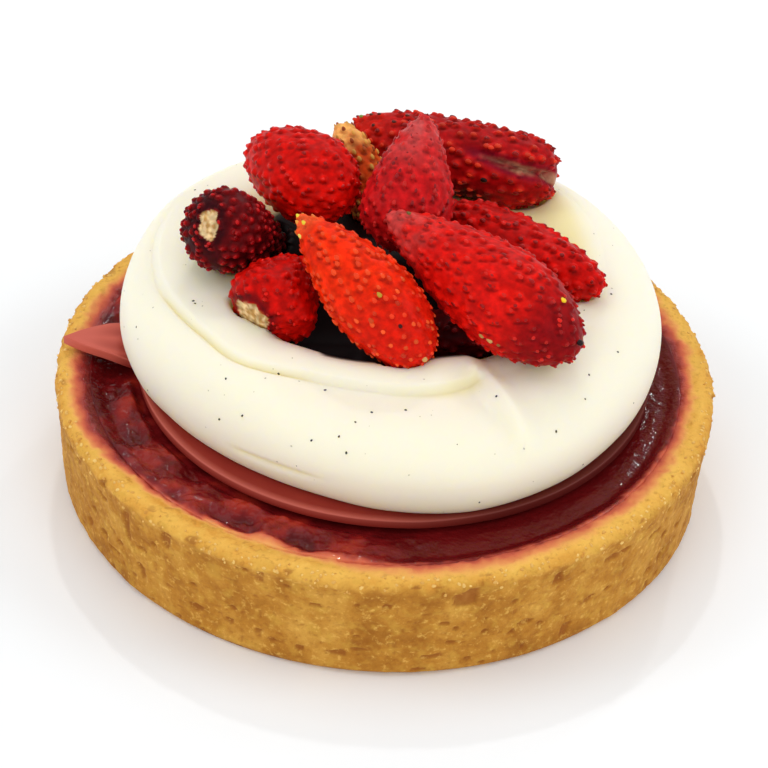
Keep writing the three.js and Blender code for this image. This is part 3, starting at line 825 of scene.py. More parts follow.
# %% Curves by angle, and how far the jam has soaked
def around_line(pairs, angle):
    """smooth closed curve through (angle, value) pairs"""
    a = np.array([p[0] for p in pairs], float)
    v = np.array([p[1] for p in pairs], float)
    angle = (np.asarray(angle, float) - a[0]) % 360 + a[0]
    ends = np.r_[a, a[0] + 360]
    i = np.clip(np.searchsorted(ends, angle, side="right") - 1, 0, len(a) - 1)
    wide_a = np.r_[a[-1] - 360, a, a[0] + 360, a[1] + 360]
    wide_v = np.r_[v[-1], v, v[0], v[1]]
    slope = (wide_v[2:] - wide_v[:-2]) / (wide_a[2:] - wide_a[:-2])
    value = np.r_[v, v[0]]
    h = ends[i + 1] - ends[i]
    t = (angle - ends[i]) / h
    return ((2 * t ** 3 - 3 * t ** 2 + 1) * value[i] + (t ** 3 - 2 * t ** 2 + t) * h * slope[i]
            + (-2 * t ** 3 + 3 * t ** 2) * value[i + 1] + (t ** 3 - t ** 2) * h * slope[i + 1])


SOAK_MIDDLE = [(-160, 37.7), (-140, 36.3), (-120, 35.4), (-105, 35.3), (-92, 35.9), (-80, 36.5),
               (-60, 36.4), (-40, 36.2), (-20, 36.1), (0, 36.7), (15, 36.9), (60, 36.8),
               (110, 36.6), (150, 36.8), (175, 37.2)]
SOAK_WIDTH = [(-160, 2.6), (-140, 2.4), (-120, 2.2), (-100, 3.6), (-80, 5.0), (-60, 4.8),
              (-40, 4.2), (-20, 3.2), (0, 2.2), (15, 2.6), (90, 3.0), (170, 2.6)]


def soak_middle(points):
    return around_line(SOAK_MIDDLE, np.degrees(np.arctan2(points[..., 1], points[..., 0])))


def within_soak(points):
    """mm inwards from the middle of the soaked edge"""
    radius = np.hypot(points[..., 0], points[..., 1])
    flat = points * [1, 1, 0]
    return soak_middle(points) - radius + 0.3 * noise(flat, 0.8, 23) + 0.4 * noise(flat, 2.6, 24)


def soaked_share(points):
    width = around_line(SOAK_WIDTH, np.degrees(np.arctan2(points[..., 1], points[..., 0])))
    return np.clip(0.5 + within_soak(points) / width, 0, 1)


def juice_ramp(tree, share):
    """colours of pastry by the share of jam in it"""
    juice = put(tree, "ShaderNodeValToRGB", {"Fac": share})
    ramp = juice.color_ramp
    ramp.elements[0].position, ramp.elements[0].color = 0.0, linear("EDB25E")
    ramp.elements[1].position, ramp.elements[1].color = 1.0, linear("74201C")
    between = ((0.17, "E8A45A"), (0.33, "DE8850"), (0.5, "CE6646"), (0.67, "B44836"), (0.83, "98302A"))
    for at, colour in between:
        ramp.elements.new(at).color = linear(colour)
    return juice.outputs["Color"]


print("soaked edge in front at", round(float(soak_middle(np.array([0.0, -36.0, 14.0]))), 1), "mm")

# %% [markdown]
# The shell is shortcrust pastry, pressed in a ring and baked: a straight wall
# with a crumbly skin, a broken rim that slopes in towards the jam, and a flat
# base. Its profile is the CAD one with more points, and noise of several sizes
# gives the crumb: soft swells, pits, crumbs about a millimetre across, and grit.

# %% Crust
RIM_RADIUS, BASE_RADIUS, CRUST_HEIGHT = 40.0, 39.2, 14.7
RIM_INNER, WALL_INNER, JAM_LEVEL, FLOOR_THICKNESS = 36.4, 34.2, 13.1, 3.2
CRUST_STEPS, CRUST_LINES = 960, 92
RIM_STARTS = 12.8                       # mm up, where the wall turns into the rim
RIDGE_RADIUS, RIDGE_WIDTH = 38.3, 0.9   # mm, the palest line of the rim
profile = np.array([
    (BASE_RADIUS - 0.9, 0.0, 0.0), (BASE_RADIUS - 0.15, 0.7, 0.6), (BASE_RADIUS + 0.05, 4.5, 1.0),
    (BASE_RADIUS + 0.25, 8.5, 1.0), (BASE_RADIUS + 0.55, 12.2, 1.0), (RIM_RADIUS, CRUST_HEIGHT - 0.9, 1.0),
    (RIM_RADIUS - 0.7, CRUST_HEIGHT - 0.05, 1.0), (RIM_RADIUS - 2.1, CRUST_HEIGHT, 1.0),
    (RIM_INNER, CRUST_HEIGHT - 0.3, 1.0), (RIM_INNER - 1.1, JAM_LEVEL + 0.75, 0.7),
    (WALL_INNER, JAM_LEVEL - 0.1, 0.2), (WALL_INNER - 0.2, JAM_LEVEL - 1.5, 0.0),
])
run = np.r_[0, np.cumsum(np.hypot(*np.diff(profile[:, :2], axis=0).T))]
fine = np.linspace(0, run[-1], CRUST_LINES)
line = np.stack([np.interp(fine, run, profile[:, k]) for k in range(3)], 1)
for _ in range(2):   # round the corners of the profile
    line[1:-1] = 0.25 * line[:-2] + 0.5 * line[1:-1] + 0.25 * line[2:]
line[0, 1] = 0.0
around = np.radians(np.arange(CRUST_STEPS) * 360 / CRUST_STEPS)
ring = np.stack([np.cos(around), np.sin(around), np.zeros(CRUST_STEPS)], 1)
rows = line[:, None, 0:1] * ring[None] + np.array([0, 0, 1.0]) * line[:, None, 1:2]
wall_row = len(line) // 3
normals = outward(rows, judged_by=wall_row)
swell = rough(rows, [(6.0, 0.05), (2.2, 0.08), (1.0, 0.09), (0.45, 0.06)], 21)
pits = -0.32 * smooth((noise(rows * [1, 1, 1.6], 1.6, 29) - 0.55) / 0.2)
pits -= 0.12 * smooth((noise(rows * [1, 1, 1.6], 0.7, 30) - 0.62) / 0.2)
uneven = rough(ring[None] * RIM_RADIUS, [(14.0, 0.3), (6.0, 0.2)], 26)
top_side = smooth((rows[..., 2] - RIM_STARTS) / 1.2)
crumbs = 0.16 * smooth((noise(rows, 0.8, 28) - 0.2) / 0.4) * top_side
depth = (swell - 0.24 + pits * (1 - 0.6 * top_side) + crumbs + uneven * (1 - top_side)) * line[:, None, 2]
rows = rows + normals * depth[..., None]
rows[0, :, 2] = 0.0
radius = np.hypot(rows[..., 0], rows[..., 1])
stain = soaked_share(rows) * (rows[..., 2] > 11)
# pits are coloured darker
pitted = smooth(-pits / 0.2)
# painted highlight: the palest line along the ridge of the rim, partly paler crumbs there
ridge = np.exp(-((radius - RIDGE_RADIUS) / RIDGE_WIDTH) ** 2) * (rows[..., 2] > 13)
# painted light: the rim's top paler than the wall, partly a paler bake and partly light from above
top = smooth((rows[..., 2] - 12.9 + 0.5 * noise(rows, 1.5, 25)) / 1.3)
inner = np.array([[WALL_INNER - 0.4, FLOOR_THICKNESS]])
inner_rows = inner[:, None, 0:1] * ring[None] + np.array([0, 0, 1.0]) * inner[:, None, 1:2]
rows = np.concatenate([rows, inner_rows])
masks = {}
seen = (("stain", stain, 1), ("top", top, 1), ("pitted", pitted, 0), ("ridge", ridge, 0))
for label, values, inside in seen:
    with_inner = np.concatenate([values, np.full((1, CRUST_STEPS), inside)])
    masks[label] = with_poles(with_inner, 0, inside)
crust_piece = skin("crust_baked", rows, (0, 0, 0), (0, 0, FLOOR_THICKNESS), masks=masks)
print("crust wall at the rim:", round(radius[40:60].max(), 2), "mm out")

# %% [markdown]
# Baked shortcrust is sandy gold: butter browns it in patches, pits are darker,
# sugar leaves lighter grains. The top of the rim is paler, partly by a paler bake
# and partly as painted light from above, and its ridge, the palest line, is a
# painted highlight. Here jam has soaked the inner half of the rim. It is matt,
# with a faint buttery sheen.

# %% Shortcrust material
pastry, tree = new_material("baked shortcrust")
where = put(tree, "ShaderNodeTexCoord")
patches = put(tree, "ShaderNodeTexNoise", {
    "Vector": where.outputs["Object"], "Scale": 1 / (4.5 * MM), "Detail": 5.0, "Roughness": 0.62})
toast = put(tree, "ShaderNodeValToRGB", {"Fac": patches.outputs["Fac"]})
ramp = toast.color_ramp
ramp.elements[0].position, ramp.elements[0].color = 0.30, linear("9C6014")
ramp.elements[1].position, ramp.elements[1].color = 0.72, linear("D49E42")
ramp.elements.new(0.5).color = linear("BA7E28")
# paler colours for the top of the rim, partly a paler bake and partly painted light
light = put(tree, "ShaderNodeValToRGB", {"Fac": patches.outputs["Fac"]})
ramp = light.color_ramp
ramp.elements[0].position, ramp.elements[0].color = 0.30, linear("D28E30")
ramp.elements[1].position, ramp.elements[1].color = 0.70, linear("E6B450")
blotches = put(tree, "ShaderNodeTexNoise",
               {"Vector": where.outputs["Object"], "Scale": 1 / (1.7 * MM), "Detail": 2.0})
grains = put(tree, "ShaderNodeTexNoise", {
    "Vector": where.outputs["Object"], "Scale": 1 / (0.75 * MM), "Detail": 3.0, "Roughness": 0.65})
shares = []
for pattern, nothing_at, full_at, most in ((blotches, 0.52, 0.68, 0.5), (grains, 0.54, 0.72, 0.45),
                                           (grains, 0.44, 0.28, 0.6)):
    share = put(tree, "ShaderNodeMapRange", {
        "Value": pattern.outputs["Fac"], "From Min": nothing_at, "From Max": full_at,
        "To Min": 0.0, "To Max": most})
    shares.append(share.outputs["Result"])
buttery, browned, floured = shares
soaked = put(tree, "ShaderNodeAttribute", attribute_name="stain")
reach = put(tree, "ShaderNodeMapRange", {"Value": soaked.outputs["Fac"], "From Min": 0.0, "From Max": 0.25,
                                         "To Min": 0.0, "To Max": 1.0})
# the top and ridge layers are painted light; the rest is the pastry's own colour and its jam stain
colour = lay_over(
    tree, toast.outputs["Color"], ("top", 1, light.outputs["Color"]), (buttery, 1, "CE9E3C"),
    ("pitted", 0.65, "8E4A16"), ("ridge", 0.4, "F6C65E"), (browned, 1, "9A5A18"), (floured, 1, "ECBC5C"),
    (reach.outputs["Result"], 1, juice_ramp(tree, soaked.outputs["Fac"])))
sheen = put(tree, "ShaderNodeMapRange", {"Value": soaked.outputs["Fac"], "From Min": 0.5, "From Max": 0.85,
                                         "To Min": 0.8, "To Max": 0.25})
crumb = put(tree, "ShaderNodeBsdfPrincipled", {
    "Base Color": colour, "Roughness": sheen.outputs["Result"], "IOR": 1.33,
    "Normal": fine_relief(tree, size=0.35, depth=0.14, strength=0.8, detail=3.0),
})
put(tree, "ShaderNodeOutputMaterial", {"Surface": crumb.outputs[0]})
dress(crust_piece, pastry, "crust", slot="crust")

# %% [markdown]
# Handling knocks grains of the shell loose. They cling along the rim, where
# they break up its clean outline. The tree that sets the seeds sets these too,
# blockier and turned every way.

# %% Loose crumbs on the crust
CRUMBS_ON_RIM = 520
grain, tree = new_material("crumb of shortcrust")
stored = put(tree, "ShaderNodeAttribute", attribute_name="tint")
dry = put(tree, "ShaderNodeBsdfPrincipled",
          {"Base Color": stored.outputs["Color"], "Roughness": 0.8, "IOR": 1.33})
put(tree, "ShaderNodeOutputMaterial", {"Surface": dry.outputs[0]})
draw = np.random.default_rng(31)
crust_normals = outward(rows[:-1], judged_by=wall_row)
rim_lines = np.nonzero((line[:, 1] > RIM_STARTS) & (line[:, 0] > RIDGE_RADIUS + 0.1))[0]
at_line = draw.choice(rim_lines, CRUMBS_ON_RIM)
at_step = draw.integers(0, CRUST_STEPS, len(at_line))
facing = crust_normals[at_line, at_step]
lean = np.cross(facing, draw.normal(size=facing.shape))
lean /= np.linalg.norm(lean, axis=1, keepdims=True)
tints = blend(tint("D09440"), tint("F2CC78"), draw.random(len(at_line)))
cloud = place_cloud("crumb_places", rows[at_line, at_step], facing, lean, tints,
                    draw.uniform(0.3, 0.62, len(at_line)))
set_bodies("crust_crumbs", cloud, grain, "crust",
           Length=1.0, Width=0.75, Height=0.7, Pointedness=0.4, Segments=5, Rings=3)

# %% [markdown]
# The disc is a thin tempered sheet, cut round with one pointed corner that
# lies up on the rim. Its plan and bend follow the CAD, with more points and a
# rounded edge that catches the light, and a painted highlight runs along its
# upper edge as well.

# %% Disc
DISC_RADIUS, DISC_X, DISC_Y, DISC_UNDERSIDE, DISC_THICKNESS = 31.2, 0.9, 1.9, 13.75, 1.2
TIP_REACH, TIP_ANGLE, TIP_WIDTH, TIP_LIFT = 40.05, 182.6, 6.7, 1.35
LIFT_STARTS, LIFT_RUN = 27, 7.5   # mm to the left, where the sheet bends up, and how far it takes


def disc_underside(x):
    return DISC_UNDERSIDE + TIP_LIFT * smooth((-np.asarray(x) - LIFT_STARTS) / LIFT_RUN)


def disc_reach(angle):
    away = (angle - TIP_ANGLE + 180) % 360 - 180
    t = np.clip(1 - np.abs(away) / TIP_WIDTH, 0, 1)
    return DISC_RADIUS + (TIP_REACH - DISC_RADIUS) * t ** 0.7


DISC_STEPS = 1440
angle = TIP_ANGLE + np.arange(DISC_STEPS) * 360 / DISC_STEPS
reach = disc_reach(angle)
shares = [0.7, 0.85, 0.97]
profile = [(s, 0.0, 0.0) for s in shares]
profile += [(1.0, 0.22 * (1 - np.sin(c)), 0.18 * (1 - np.cos(c))) for c in np.linspace(0, np.pi / 2, 5)]
profile += [(1.0, 0.22 * (1 - np.cos(c)), 0.82 + 0.18 * np.sin(c)) for c in np.linspace(0, np.pi / 2, 6)]
profile += [(s, 0.0, 1.0) for s in shares[::-1]]
rows, edge = [], []
for share, inset, level in profile:
    r = reach * share - inset
    x = DISC_X + r * np.cos(np.radians(angle))
    y = DISC_Y + r * np.sin(np.radians(angle))
    z = disc_underside(x) + level * DISC_THICKNESS
    rows.append(np.stack([x, y, z], 1))
    # painted highlight along the upper corner of the edge
    corner = np.exp(-((level - 0.93) / 0.12) ** 2) * (share == 1.0)
    edge.append(np.full(DISC_STEPS, corner))
rows = np.array(rows)
rows[..., 2] += 0.05 * noise(rows, 5.0, 61) * (np.hypot(rows[..., 0], rows[..., 1]) > 20)
to_right = (angle + 180) % 360 - 180
# darker from the front round the right side to the back
wet = np.broadcast_to(smooth((to_right + 105) / 45) * smooth((120 - to_right) / 30), rows.shape[:2])
# painted light: the raised corner lighter, as if it lay in brighter light
painted_light_on_tab = smooth((-rows[..., 0] - 30.5) / 3)
disc_piece = skin(
    "disc_sheet", rows, (DISC_X, DISC_Y, DISC_UNDERSIDE), (DISC_X, DISC_Y, DISC_UNDERSIDE + DISC_THICKNESS),
    masks={"edge": with_poles(edge, 0, 0), "wet": with_poles(wet, 0, 0),
           "corner": with_poles(painted_light_on_tab, 0, 0)})

# %% [markdown]
# The sheet is fruit couverture, pink-brown, with a painted highlight along its
# edge. Its raised corner is the lightest part, by painted light, and from the
# front round the right it is darker.

# %% Couverture material
couverture, tree = new_material("pink fruit couverture")
where = put(tree, "ShaderNodeTexCoord")
cloudy = put(tree, "ShaderNodeTexNoise",
             {"Vector": where.outputs["Object"], "Scale": 1 / (5 * MM), "Detail": 4.0})
# the edge layer is a painted highlight and the corner layer is painted light
colour = lay_over(
    tree, linear("8A241C"), (cloudy.outputs["Fac"], 1, "9A342A"), ("edge", 1, "BE5E50"),
    ("wet", 0.85, "480E0C"), ("corner", 1, "C65C4C"))
sheet = put(tree, "ShaderNodeBsdfPrincipled", {
    "Base Color": colour, "Roughness": 0.45, "IOR": 1.40, "Specular IOR Level": 0.3,
    "Normal": fine_relief(tree, size=0.6, depth=0.05, strength=0.15),
})
put(tree, "ShaderNodeOutputMaterial", {"Surface": sheet.outputs[0]})
dress(disc_piece, couverture, "disc", slot="disc")

# %% [markdown]
# Jam is cooked fruit in clear red jelly: broken berry pieces stand up under a
# wet film, which pulls itself smooth between them and climbs a little up the
# crust. It is lumpy on the left and at the front, and calm on the right. Only
# the open ring beside the disc is seen, so the fine rows lie there.

# %% Jam
JAM_RADIUS, LUMP_HEIGHT = 33.9, 0.9
JAM_STEPS, JAM_ROWS = 1000, 62
JAM_EDGE, JAM_OPEN_TO, JAM_UNDER_DISC = 35.9, 28.0, 26.0   # mm, radii of its top
EDGE_DROP = 1.0   # mm that the outermost row turns down into the crust


def jam_top(x, y):
    p = np.stack([x, y, np.zeros_like(x)], -1)
    pieces = np.maximum(0, noise(p, 3.0, 31) + 0.2)
    seedy = 0.3 * np.maximum(0, noise(p, 1.3, 32)) + 0.1 * noise(p, 0.6, 33)
    lumpy = 0.12 + 0.88 * smooth((14 - x) / 22)
    away = np.hypot(x - DISC_X, y - DISC_Y) - DISC_RADIUS
    clear = smooth((away - 0.3) / 1.0)
    turn = (np.degrees(np.arctan2(y - DISC_Y, x - DISC_X)) - TIP_ANGLE + 180) % 360 - 180
    under_tip = smooth((np.abs(turn) - 7) / 5)
    radius = np.hypot(x, y)
    soaked_to = soak_middle(p)
    climb = 0.9 * smooth((radius - 33.6) / 2.2) * smooth((soaked_to - 34.2) / 1.2)
    shore = smooth((np.minimum(36, soaked_to + 0.6) - radius) / 1.5)
    fruit = 0.45 * pieces + 0.35 * rough(p, [(2.2, 0.7), (0.8, 0.5)], 36)
    tone = 0.1 + np.clip(fruit, -0.1, 1) * lumpy
    return JAM_LEVEL + (LUMP_HEIGHT * pieces + seedy) * lumpy * clear * under_tip * shore + climb, tone


angle = np.radians(np.arange(JAM_STEPS) * 360 / JAM_STEPS)
rows, tones = [], []
for r, z in ((WALL_INNER - 0.7, FLOOR_THICKNESS + 0.3), (JAM_RADIUS + 0.1, JAM_LEVEL - 0.6)):
    rows.append(np.stack([r * np.cos(angle), r * np.sin(angle), np.full(JAM_STEPS, z)], 1))
    tones.append(np.zeros(JAM_STEPS))
for r in np.r_[JAM_EDGE, np.linspace(JAM_EDGE - 0.2, JAM_OPEN_TO, JAM_ROWS), JAM_UNDER_DISC]:
    x, y = r * np.cos(angle), r * np.sin(angle)
    z, tone = jam_top(x, y)
    if r == JAM_EDGE:
        z = z - EDGE_DROP
    rows.append(np.stack([x, y, z], 1))
    tones.append(np.clip(tone, 0, 1))
rows, tones = np.array(rows), np.array(tones)
thin = smooth((1.5 - within_soak(rows)) / 1.3)
stain = soaked_share(rows)
jam_piece = skin("jam_filling", rows, (0, 0, FLOOR_THICKNESS + 0.3), (0, 0, JAM_LEVEL),
                 masks={"tone": with_poles(tones, 0, 0), "thin": with_poles(thin, 0, 0),
                        "stain": with_poles(stain, 1, 1)})

# %% [markdown]
# Under the wet film the jam is dark wine where it is deep and redder in the soft
# pieces of fruit. At its outer edge the layer is so thin that the soaked pastry
# shows through, so it takes the pastry's colours there.

# %% Jam material
jelly, tree = new_material("strawberry jam")
chunk = put(tree, "ShaderNodeAttribute", attribute_name="tone")
body = put(tree, "ShaderNodeValToRGB", {"Fac": chunk.outputs["Fac"]})
ramp = body.color_ramp
ramp.elements[0].position, ramp.elements[0].color = 0.0, linear("560C0E")
ramp.elements[1].position, ramp.elements[1].color = 0.8, linear("A02A1C")
ramp.elements.new(0.35).color = linear("741416")
soaked = put(tree, "ShaderNodeAttribute", attribute_name="stain")
colour = lay_over(tree, body.outputs["Color"], ("thin", 1, juice_ramp(tree, soaked.outputs["Fac"])))
wet = put(tree, "ShaderNodeBsdfPrincipled", {
    "Base Color": colour, "Roughness": 0.07, "IOR": 1.40, "Specular IOR Level": 0.3,
    "Normal": fine_relief(tree, size=0.8, depth=0.2, strength=0.9),
    "Subsurface Weight": 0.1, "Subsurface Radius": (1.0, 0.12, 0.08), "Subsurface Scale": 0.6 * MM,
})
put(tree, "ShaderNodeOutputMaterial", {"Surface": wet.outputs[0]})
dress(jam_piece, jelly, "jam", slot="jam")

# %% [markdown]
# The cream was piped as a thick ring and folded with a spoon: its side bulges,
# and a lip starts behind on the left, sweeps round the front over a groove and
# stops in a small cliff on the right. Its plan changes with the angle, so each
# line (bulge, groove, crest) is a smooth closed curve through a few named
# angles, and the surface is drawn between those lines.

# %% Cream: lines by angle
CREAM_X, CREAM_Y, BULGE_HEIGHT, UNDERCUT = 1.0, 1.0, 19.3, 1.5
WELL_DEPTH, WELL_BACK_RISE, WELL_RUN, LIP_RISE, SHOULDER = 7.2, 6.0, 9.5, 2.0, 4.0
CREAM_GAP = 0.05   # mm that it stays clear of the disc and of the berries
BULGE = [(-177, 33.2), (-163, 31.9), (-150, 30.4), (-124, 28.9), (-106, 29.0), (-89, 29.9),
         (-70, 30.7), (-49, 30.6), (-31, 30.6), (-13, 31.2), (5, 32.1), (30, 32.7),
         (60, 32.6), (90, 32.2), (120, 32.6), (145, 33.4), (165, 33.9)]
GROOVE = [(-179, 29.2), (-165, 27.3), (-151, 25.6), (-138, 24.8), (-127, 23.0), (-116, 20.9),
          (-101, 20.3), (-88, 20.6), (-75, 20.8), (-61, 20.2), (-45, 20.5), (-20, 23.5),
          (10, 25.0), (45, 28.0), (90, 28.5), (130, 30.0), (162, 31.0)]
CREST = [(-179, 24.3), (-165, 22.4), (-152, 22.2), (-143, 21.2), (-125, 19.1), (-92, 17.7),
         (-72, 17.1), (-59, 17.6), (-45, 18.5), (-20, 21.0), (10, 22.8), (30, 25.0),
         (45, 27.0), (90, 27.0), (130, 27.0), (162, 26.5)]
CREST_HEIGHT = [(-179, 27.3), (-120, 27.2), (-62, 27.4), (-52, 26.1), (-35, 26.6), (0, 27.3),
                (45, 27.6), (100, 27.6), (150, 27.4)]


def lip_at(angle):
    """0 where there is no lip, 1 at its full height"""
    q = (np.asarray(angle) - 148) % 360
    tail = np.where(q < 150, 1.0, 1 - smooth((q - 150) / 5))
    return np.where(q < 155, smooth(q / 26) * tail, 0.0)


def crease_at(angle):
    """strength of the thin line where the lip lies on the body, on the left"""
    q = np.asarray(angle, float)
    return smooth((q + 178) / 14) * smooth((-112 - q) / 14)


def cream_top(r, angle):
    bulge, groove = around_line(BULGE, angle), around_line(GROOVE, angle)
    crest, height = around_line(CREST, angle), around_line(CREST_HEIGHT, angle)
    lip, crease = lip_at(angle), crease_at(angle)
    step = LIP_RISE * lip * (1 - 0.45 * crease)
    low = height - step - 0.25 * (1 - lip)
    s = np.clip((r - groove) / (bulge - groove), 0, 1)
    outside = BULGE_HEIGHT + (low - BULGE_HEIGHT) * (1 - s ** 2.15) ** (1 / 2.15)
    u = np.clip((groove - r) / (groove - crest), 0, 1)
    rise = 0.42 * lip * smooth(u / 0.22) + (1 - 0.42 * lip) * np.sin(u * np.pi / 2)
    over = low + (height - low) * rise
    x = CREAM_X + r * np.cos(np.radians(angle))
    y = CREAM_Y + r * np.sin(np.radians(angle))
    depth = WELL_DEPTH - WELL_BACK_RISE * smooth((y + 4) / 10)
    from_left = np.abs((np.asarray(angle) + 360) % 360 - 180)
    shoulder = SHOULDER * smooth((43 - from_left) / 13)
    inside = height - depth * smooth((crest - r - shoulder) / (WELL_RUN - shoulder))
    z = np.where(r >= groove, outside, np.where(r > crest, over, inside))
    z = z - 0.35 * crease * np.exp(-(np.abs(r - groove) / 0.3) ** 1.2)
    off = (np.asarray(angle) + 61.5 + 180) % 360 - 180
    ridge = 0.55 * np.exp(-(off / 2.2) ** 2)
    return z + ridge * smooth((r - 17.5) / 2) * (1 - smooth((r - 22.5) / 4))


print("crest height in front:", round(float(cream_top(17.8, -90.0)), 2), "mm")

# %% [markdown]
# Berries press into soft cream. The underside of every berry over a point is
# found by closing in on it along a plumb line: first the deepest place on the
# line inside the berry, then, by halving, where the line enters the flesh. The
# cream stays just below the lowest of them.

# %% Press the berries into the cream
CLOSING_STEPS, HALVING_STEPS = 26, 14


def depth_in(berry, points, margin):
    """how deep points lie inside a berry that is swollen by a margin"""
    base, along, length, _, _ = berry_frame(berry)
    off = points - base
    run = off @ along
    t = np.clip(run / length, 0, 1)
    aside = np.sqrt(np.maximum(0, (off ** 2).sum(-1) - run ** 2))
    return berry["girth"] * fullness(berry, t) + margin - np.hypot(aside, run - t * length)


def berry_underside(x, y, margin):
    lowest = np.full(np.shape(x), np.inf)
    for berry in BERRIES.values():
        ends = np.array([berry["base"], berry["tip"]])
        reach = berry["girth"] + margin
        (x0, y0, z0), (x1, y1, z1) = ends.min(0) - reach, ends.max(0) + reach
        under = (x > x0) & (x < x1) & (y > y0) & (y < y1)
        px, py = x[under], y[under]

        def depth(z):
            return depth_in(berry, np.stack([px, py, z], -1), margin)

        low, high = np.full(px.shape, z0), np.full(px.shape, z1)
        for _ in range(CLOSING_STEPS):
            a, b = low + (high - low) / 3, high - (high - low) / 3
            rising = depth(a) < depth(b)
            low, high = np.where(rising, a, low), np.where(rising, high, b)
        inner = (low + high) / 2
        inside = depth(inner) > 0
        outer = np.full(px.shape, z0)
        for _ in range(HALVING_STEPS):
            half = (outer + inner) / 2
            within = depth(half) > 0
            inner, outer = np.where(within, half, inner), np.where(within, outer, half)
        found = np.where(inside, inner, np.inf)
        lowest[under] = np.minimum(lowest[under], found)
    return lowest


CREAM_STEPS = 576
FOOT_SHARES = (0.8, 0.95, 1.0)   # of the foot's radius, for the rows on the disc
SIDE_ROWS, BODY_ROWS, LIP_ROWS, WELL_ROWS = 34, 62, 33, 39
angle = -180 + np.arange(CREAM_STEPS) * 360 / CREAM_STEPS
bulge = around_line(BULGE, angle)
groove = around_line(GROOVE, angle)
crest = around_line(CREST, angle)
lines = []


def cream_row(r, z):
    x = CREAM_X + r * np.cos(np.radians(angle))
    y = CREAM_Y + r * np.sin(np.radians(angle))
    return np.stack([x, y, z], 1)


for share in FOOT_SHARES:
    row = cream_row((bulge - UNDERCUT) * share, np.zeros(CREAM_STEPS))
    row[:, 2] = disc_underside(row[:, 0]) + DISC_THICKNESS + CREAM_GAP
    lines.append(row)
for a in np.linspace(0.04, 1, SIDE_ROWS + 1)[:-1] * np.pi / 2:
    row = cream_row(bulge - UNDERCUT + UNDERCUT * np.sin(a), np.zeros(CREAM_STEPS))
    foot = disc_underside(row[:, 0]) + DISC_THICKNESS + CREAM_GAP
    row[:, 2] = foot + (BULGE_HEIGHT - foot) * (1 - np.cos(a))
    lines.append(row)
for a in np.linspace(0, 1, BODY_ROWS) * np.pi / 2:
    r = bulge - (bulge - groove) * (1 - np.cos(a))
    lines.append(cream_row(r, cream_top(r, angle)))
for u in np.linspace(0, 1, LIP_ROWS + 1)[1:]:
    r = groove - (groove - crest) * u
    lines.append(cream_row(r, cream_top(r, angle)))
for s in np.linspace(1, 0.04, WELL_ROWS + 1)[1:]:
    r = crest * s
    lines.append(cream_row(r, cream_top(r, angle)))
rows = np.array(lines)
sway = rough(rows, [(9.0, 0.2), (3.5, 0.04)], 71)
rows[3:, :, 2] += sway[3:] * 0.8
pressed = berry_underside(rows[..., 0], rows[..., 1], CREAM_GAP)
top_side = rows[..., 2] > BULGE_HEIGHT
rows[..., 2] = np.where(top_side, np.minimum(rows[..., 2], pressed), rows[..., 2])
centre = np.array([CREAM_X, CREAM_Y, rows[-1, :, 2].mean()])

# %% [markdown]
# A spoon left a short fold low on the left, with a sharp upper line. It is cut
# in as a narrow valley that follows a rising height between two angles. Four
# masks of painted light and shade are stored for the material: the yellow shade
# inside creases, a warm painted shade down in the well and low on the side, a
# yellower painted light on the cream beside a berry, and a near-black painted
# shade in the gaps between and under the berries.

# %% Fold marks and masks of the cream
FOLD_FROM, FOLD_TO, FOLD_HEIGHT = -131.0, -103.0, 18.0
DARK_SHADE_FROM, DARK_SHADE_TO = -200.0, -52.0   # angles between which the well's gaps are painted near black as shade
# mm from the centre that the painted near-black shade reaches under the heap, by angle
DARK_SHADE_REACH = [(-60, 15), (0, 14.5), (40, 15), (70, 17), (100, 20.5), (150, 20.5), (180, 19)]

turn = np.broadcast_to(angle[None], rows.shape[:2])
radial = np.hypot(rows[..., 0] - CREAM_X, rows[..., 1] - CREAM_Y)
along_fold = smooth((turn - FOLD_FROM) / 6) * smooth((FOLD_TO - turn) / 8)
fold_z = FOLD_HEIGHT + 0.02 * (turn - FOLD_FROM)
fold = along_fold * np.exp(-(np.abs(rows[..., 2] - fold_z) / 0.35) ** 1.5) * (radial > 24)
shift = 1 - 0.3 * fold / np.maximum(radial, 1)
rows[..., 0] = CREAM_X + (rows[..., 0] - CREAM_X) * shift
rows[..., 1] = CREAM_Y + (rows[..., 1] - CREAM_Y) * shift

from_groove = np.abs(radial - groove[None])
thin_line = crease_at(turn) * np.exp(-(from_groove / 0.32) ** 1.5)
front = smooth((turn + 98) / 30) * (turn < -60.5) * smooth((-60 - turn) / 2)
soft_line = front * np.exp(-(from_groove / (0.5 + 0.5 * smooth((turn + 80) / 16))) ** 2)
shade = np.clip(thin_line + 0.8 * soft_line + 0.7 * fold, 0, 1)


inward = around_line(CREST, turn) - radial
on_top = rows[..., 2] > BULGE_HEIGHT
back_right = smooth((turn - 2) / 12) * smooth((80 - turn) / 15)
# painted shade: a warmer cream deeper in the well, from further out at the back right, and low on the side
deep = smooth((inward - 1.0 + 3.2 * back_right) / 4) * on_top
deep = np.maximum(deep, 0.55 * smooth((18.8 - rows[..., 2]) / 4))
turned = np.where(turn > 100, turn - 360, turn)
# painted shade: near black in the well's gaps between and under the berries
dark_shade_by_angle = smooth((turned - DARK_SHADE_FROM) / 15) * smooth((DARK_SHADE_TO - turned) / 6)
edge_of_dark_shade = 0.3 + 4.4 * smooth((-116 - turned) / 14)
dark_shade_under_heap = smooth((around_line(DARK_SHADE_REACH, turn) - radial) / 1.2)
juice = np.maximum(dark_shade_by_angle * smooth((inward - edge_of_dark_shade) / 0.8), dark_shade_under_heap) * on_top
beside = np.full(radial.shape, -9.0)
for berry in BERRIES.values():
    beside = np.maximum(beside, depth_in(berry, rows, 0))
